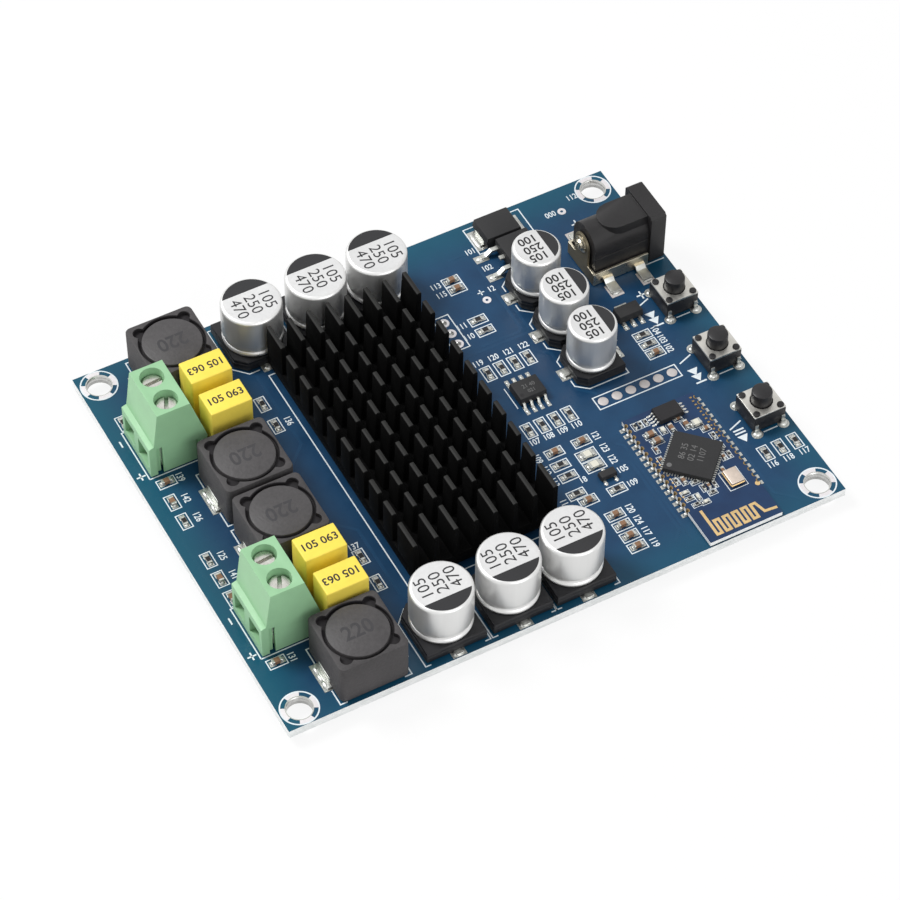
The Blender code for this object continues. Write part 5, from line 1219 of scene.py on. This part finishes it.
def jack():
    shell = Place("jack_shell")

    # The rear plate, facing -X, takes the darker brass: painted shade and a painted reflection of the dark
    # can beside it.
    def part_of_shell(c):
        if c.z < TOP + 1:
            return 1
        return 2 if c.x < shell.x0 + 0.8 else 0

    softened("jack_housing", "jack_moulding", ("socket",), 0.16)
    softened("jack_shell", "jack_plate", ("brass", "tin", "brass_in_shade"), 0.05,
             pick=part_of_shell)
    softened("jack_pin", "jack_centre_pin", ("brass",), 0.05)
    p = Piece()
    for x in (shell.x0 + 2.7, shell.x0 + 8.6):
        for s in (-1, 1):
            y = JACK.y + s * 6.5
            p.pad(x, y, 2.3, 2.8, "pad")
            p.bead(x, y + s * 0.3, TOP + 0.04, 1.0, 0.8, 0.35, steps=16)
    rivet = [(1.5, 0.0), (1.5, 0.12), (1.3, 0.26), (1.0, 0.28), (0.8, 0.16), (0.55, 0.12), (0.45, 0.3),
             (0.2, 0.34)]
    p.lathe(rivet, shell.x0, JACK.y, TOP + 6.3, "brass", 36, True)
    p.done("jack_joints")


# Stage
def background_share(tree):
    """One for rays that should meet the white background."""
    path = node(tree, "ShaderNodeLightPath")
    share = path.outputs["Is Camera Ray"]
    for ray in ("Is Glossy Ray", "Is Transmission Ray"):
        larger = node(tree, "ShaderNodeMath", {0: share, 1: path.outputs[ray]}, operation="MAXIMUM")
        share = larger.outputs[0]
    return share


def floor():
    mesh = bpy.data.meshes.new("floor")
    half = 3.0
    mesh.from_pydata([(x, y, 0) for x, y in rectangle(-half, -half, half, half)], [], [(0, 1, 2, 3)])
    obj = bpy.data.objects.new("floor", mesh)
    bpy.context.scene.collection.objects.link(obj)
    mat = bpy.data.materials.new("pale_floor")
    mat.use_nodes = True
    tree = mat.node_tree
    tree.nodes.clear()
    diffuse = node(tree, "ShaderNodeBsdfDiffuse", {"Color": (0.9, 0.9, 0.9, 1)})
    glow = node(tree, "ShaderNodeEmission")
    share = node(tree, "ShaderNodeMath", {0: background_share(tree), 1: 0.9}, operation="MULTIPLY")
    mix = node(tree, "ShaderNodeMixShader", {
        0: share.outputs[0], 1: diffuse.outputs[0], 2: glow.outputs[0]})
    node(tree, "ShaderNodeOutputMaterial", {"Surface": mix.outputs[0]})
    mesh.materials.append(mat)


def world():
    sky = bpy.data.worlds.new("studio")
    bpy.context.scene.world = sky
    sky.use_nodes = True
    tree = sky.node_tree
    tree.nodes.clear()
    soft, white = [node(tree, "ShaderNodeBackground", {"Color": (1, 1, 1, 1), "Strength": strength})
                   for strength in (0.42, 1.0)]
    mix = node(tree, "ShaderNodeMixShader", {
        0: background_share(tree), 1: soft.outputs[0], 2: white.outputs[0]})
    node(tree, "ShaderNodeOutputWorld", {"Surface": mix.outputs[0]})


def lamp(name, at, size, power):
    data = bpy.data.lights.new(name, "AREA")
    data.shape = "DISK"
    data.size = size
    data.energy = power
    obj = bpy.data.objects.new(name, data)
    obj.location = at
    obj.rotation_euler = (Vector(at) * -1).to_track_quat("-Z", "Y").to_euler()
    bpy.context.scene.collection.objects.link(obj)


def camera():
    data = bpy.data.cameras.new("camera")
    data.lens = 144.622
    data.sensor_width = 36
    data.clip_start = 0.01
    obj = bpy.data.objects.new("camera", data)
    obj.location = (-0.17266033, -0.31467160, 0.44516737)
    obj.rotation_euler = (0.67736915, -0.00464807, -0.49412067)
    bpy.context.scene.collection.objects.link(obj)
    bpy.context.scene.camera = obj


floor()
world()
lamp("key", (-0.38, 0.42, 0.75), 0.35, 6.7)
lamp("fill", (0.1, -0.7, 0.5), 0.5, 2.3)
camera()
bpy.context.scene.view_settings.view_transform = "Standard"

board()
copper()
small_parts()
solder_side()
legend()
capacitors()
heatsink()
for number, coil_box in enumerate(INDUCTORS, 1):
    inductor(number, coil_box, 0.0 if number == 4 else math.pi)
for number, film_box in enumerate(FILMS, 1):
    film_capacitor(number, film_box, math.pi if number in (1, 4) else 0.0)
for number, key_cover in enumerate(KEYS, 1):
    switch(number, key_cover)
preamp()
linear_regulator()
power_diode()
voltage_regulator()
amplifier()
module_board()
module_parts()
radio_chip()
memory_chip()
crystal()
terminals()
jack()
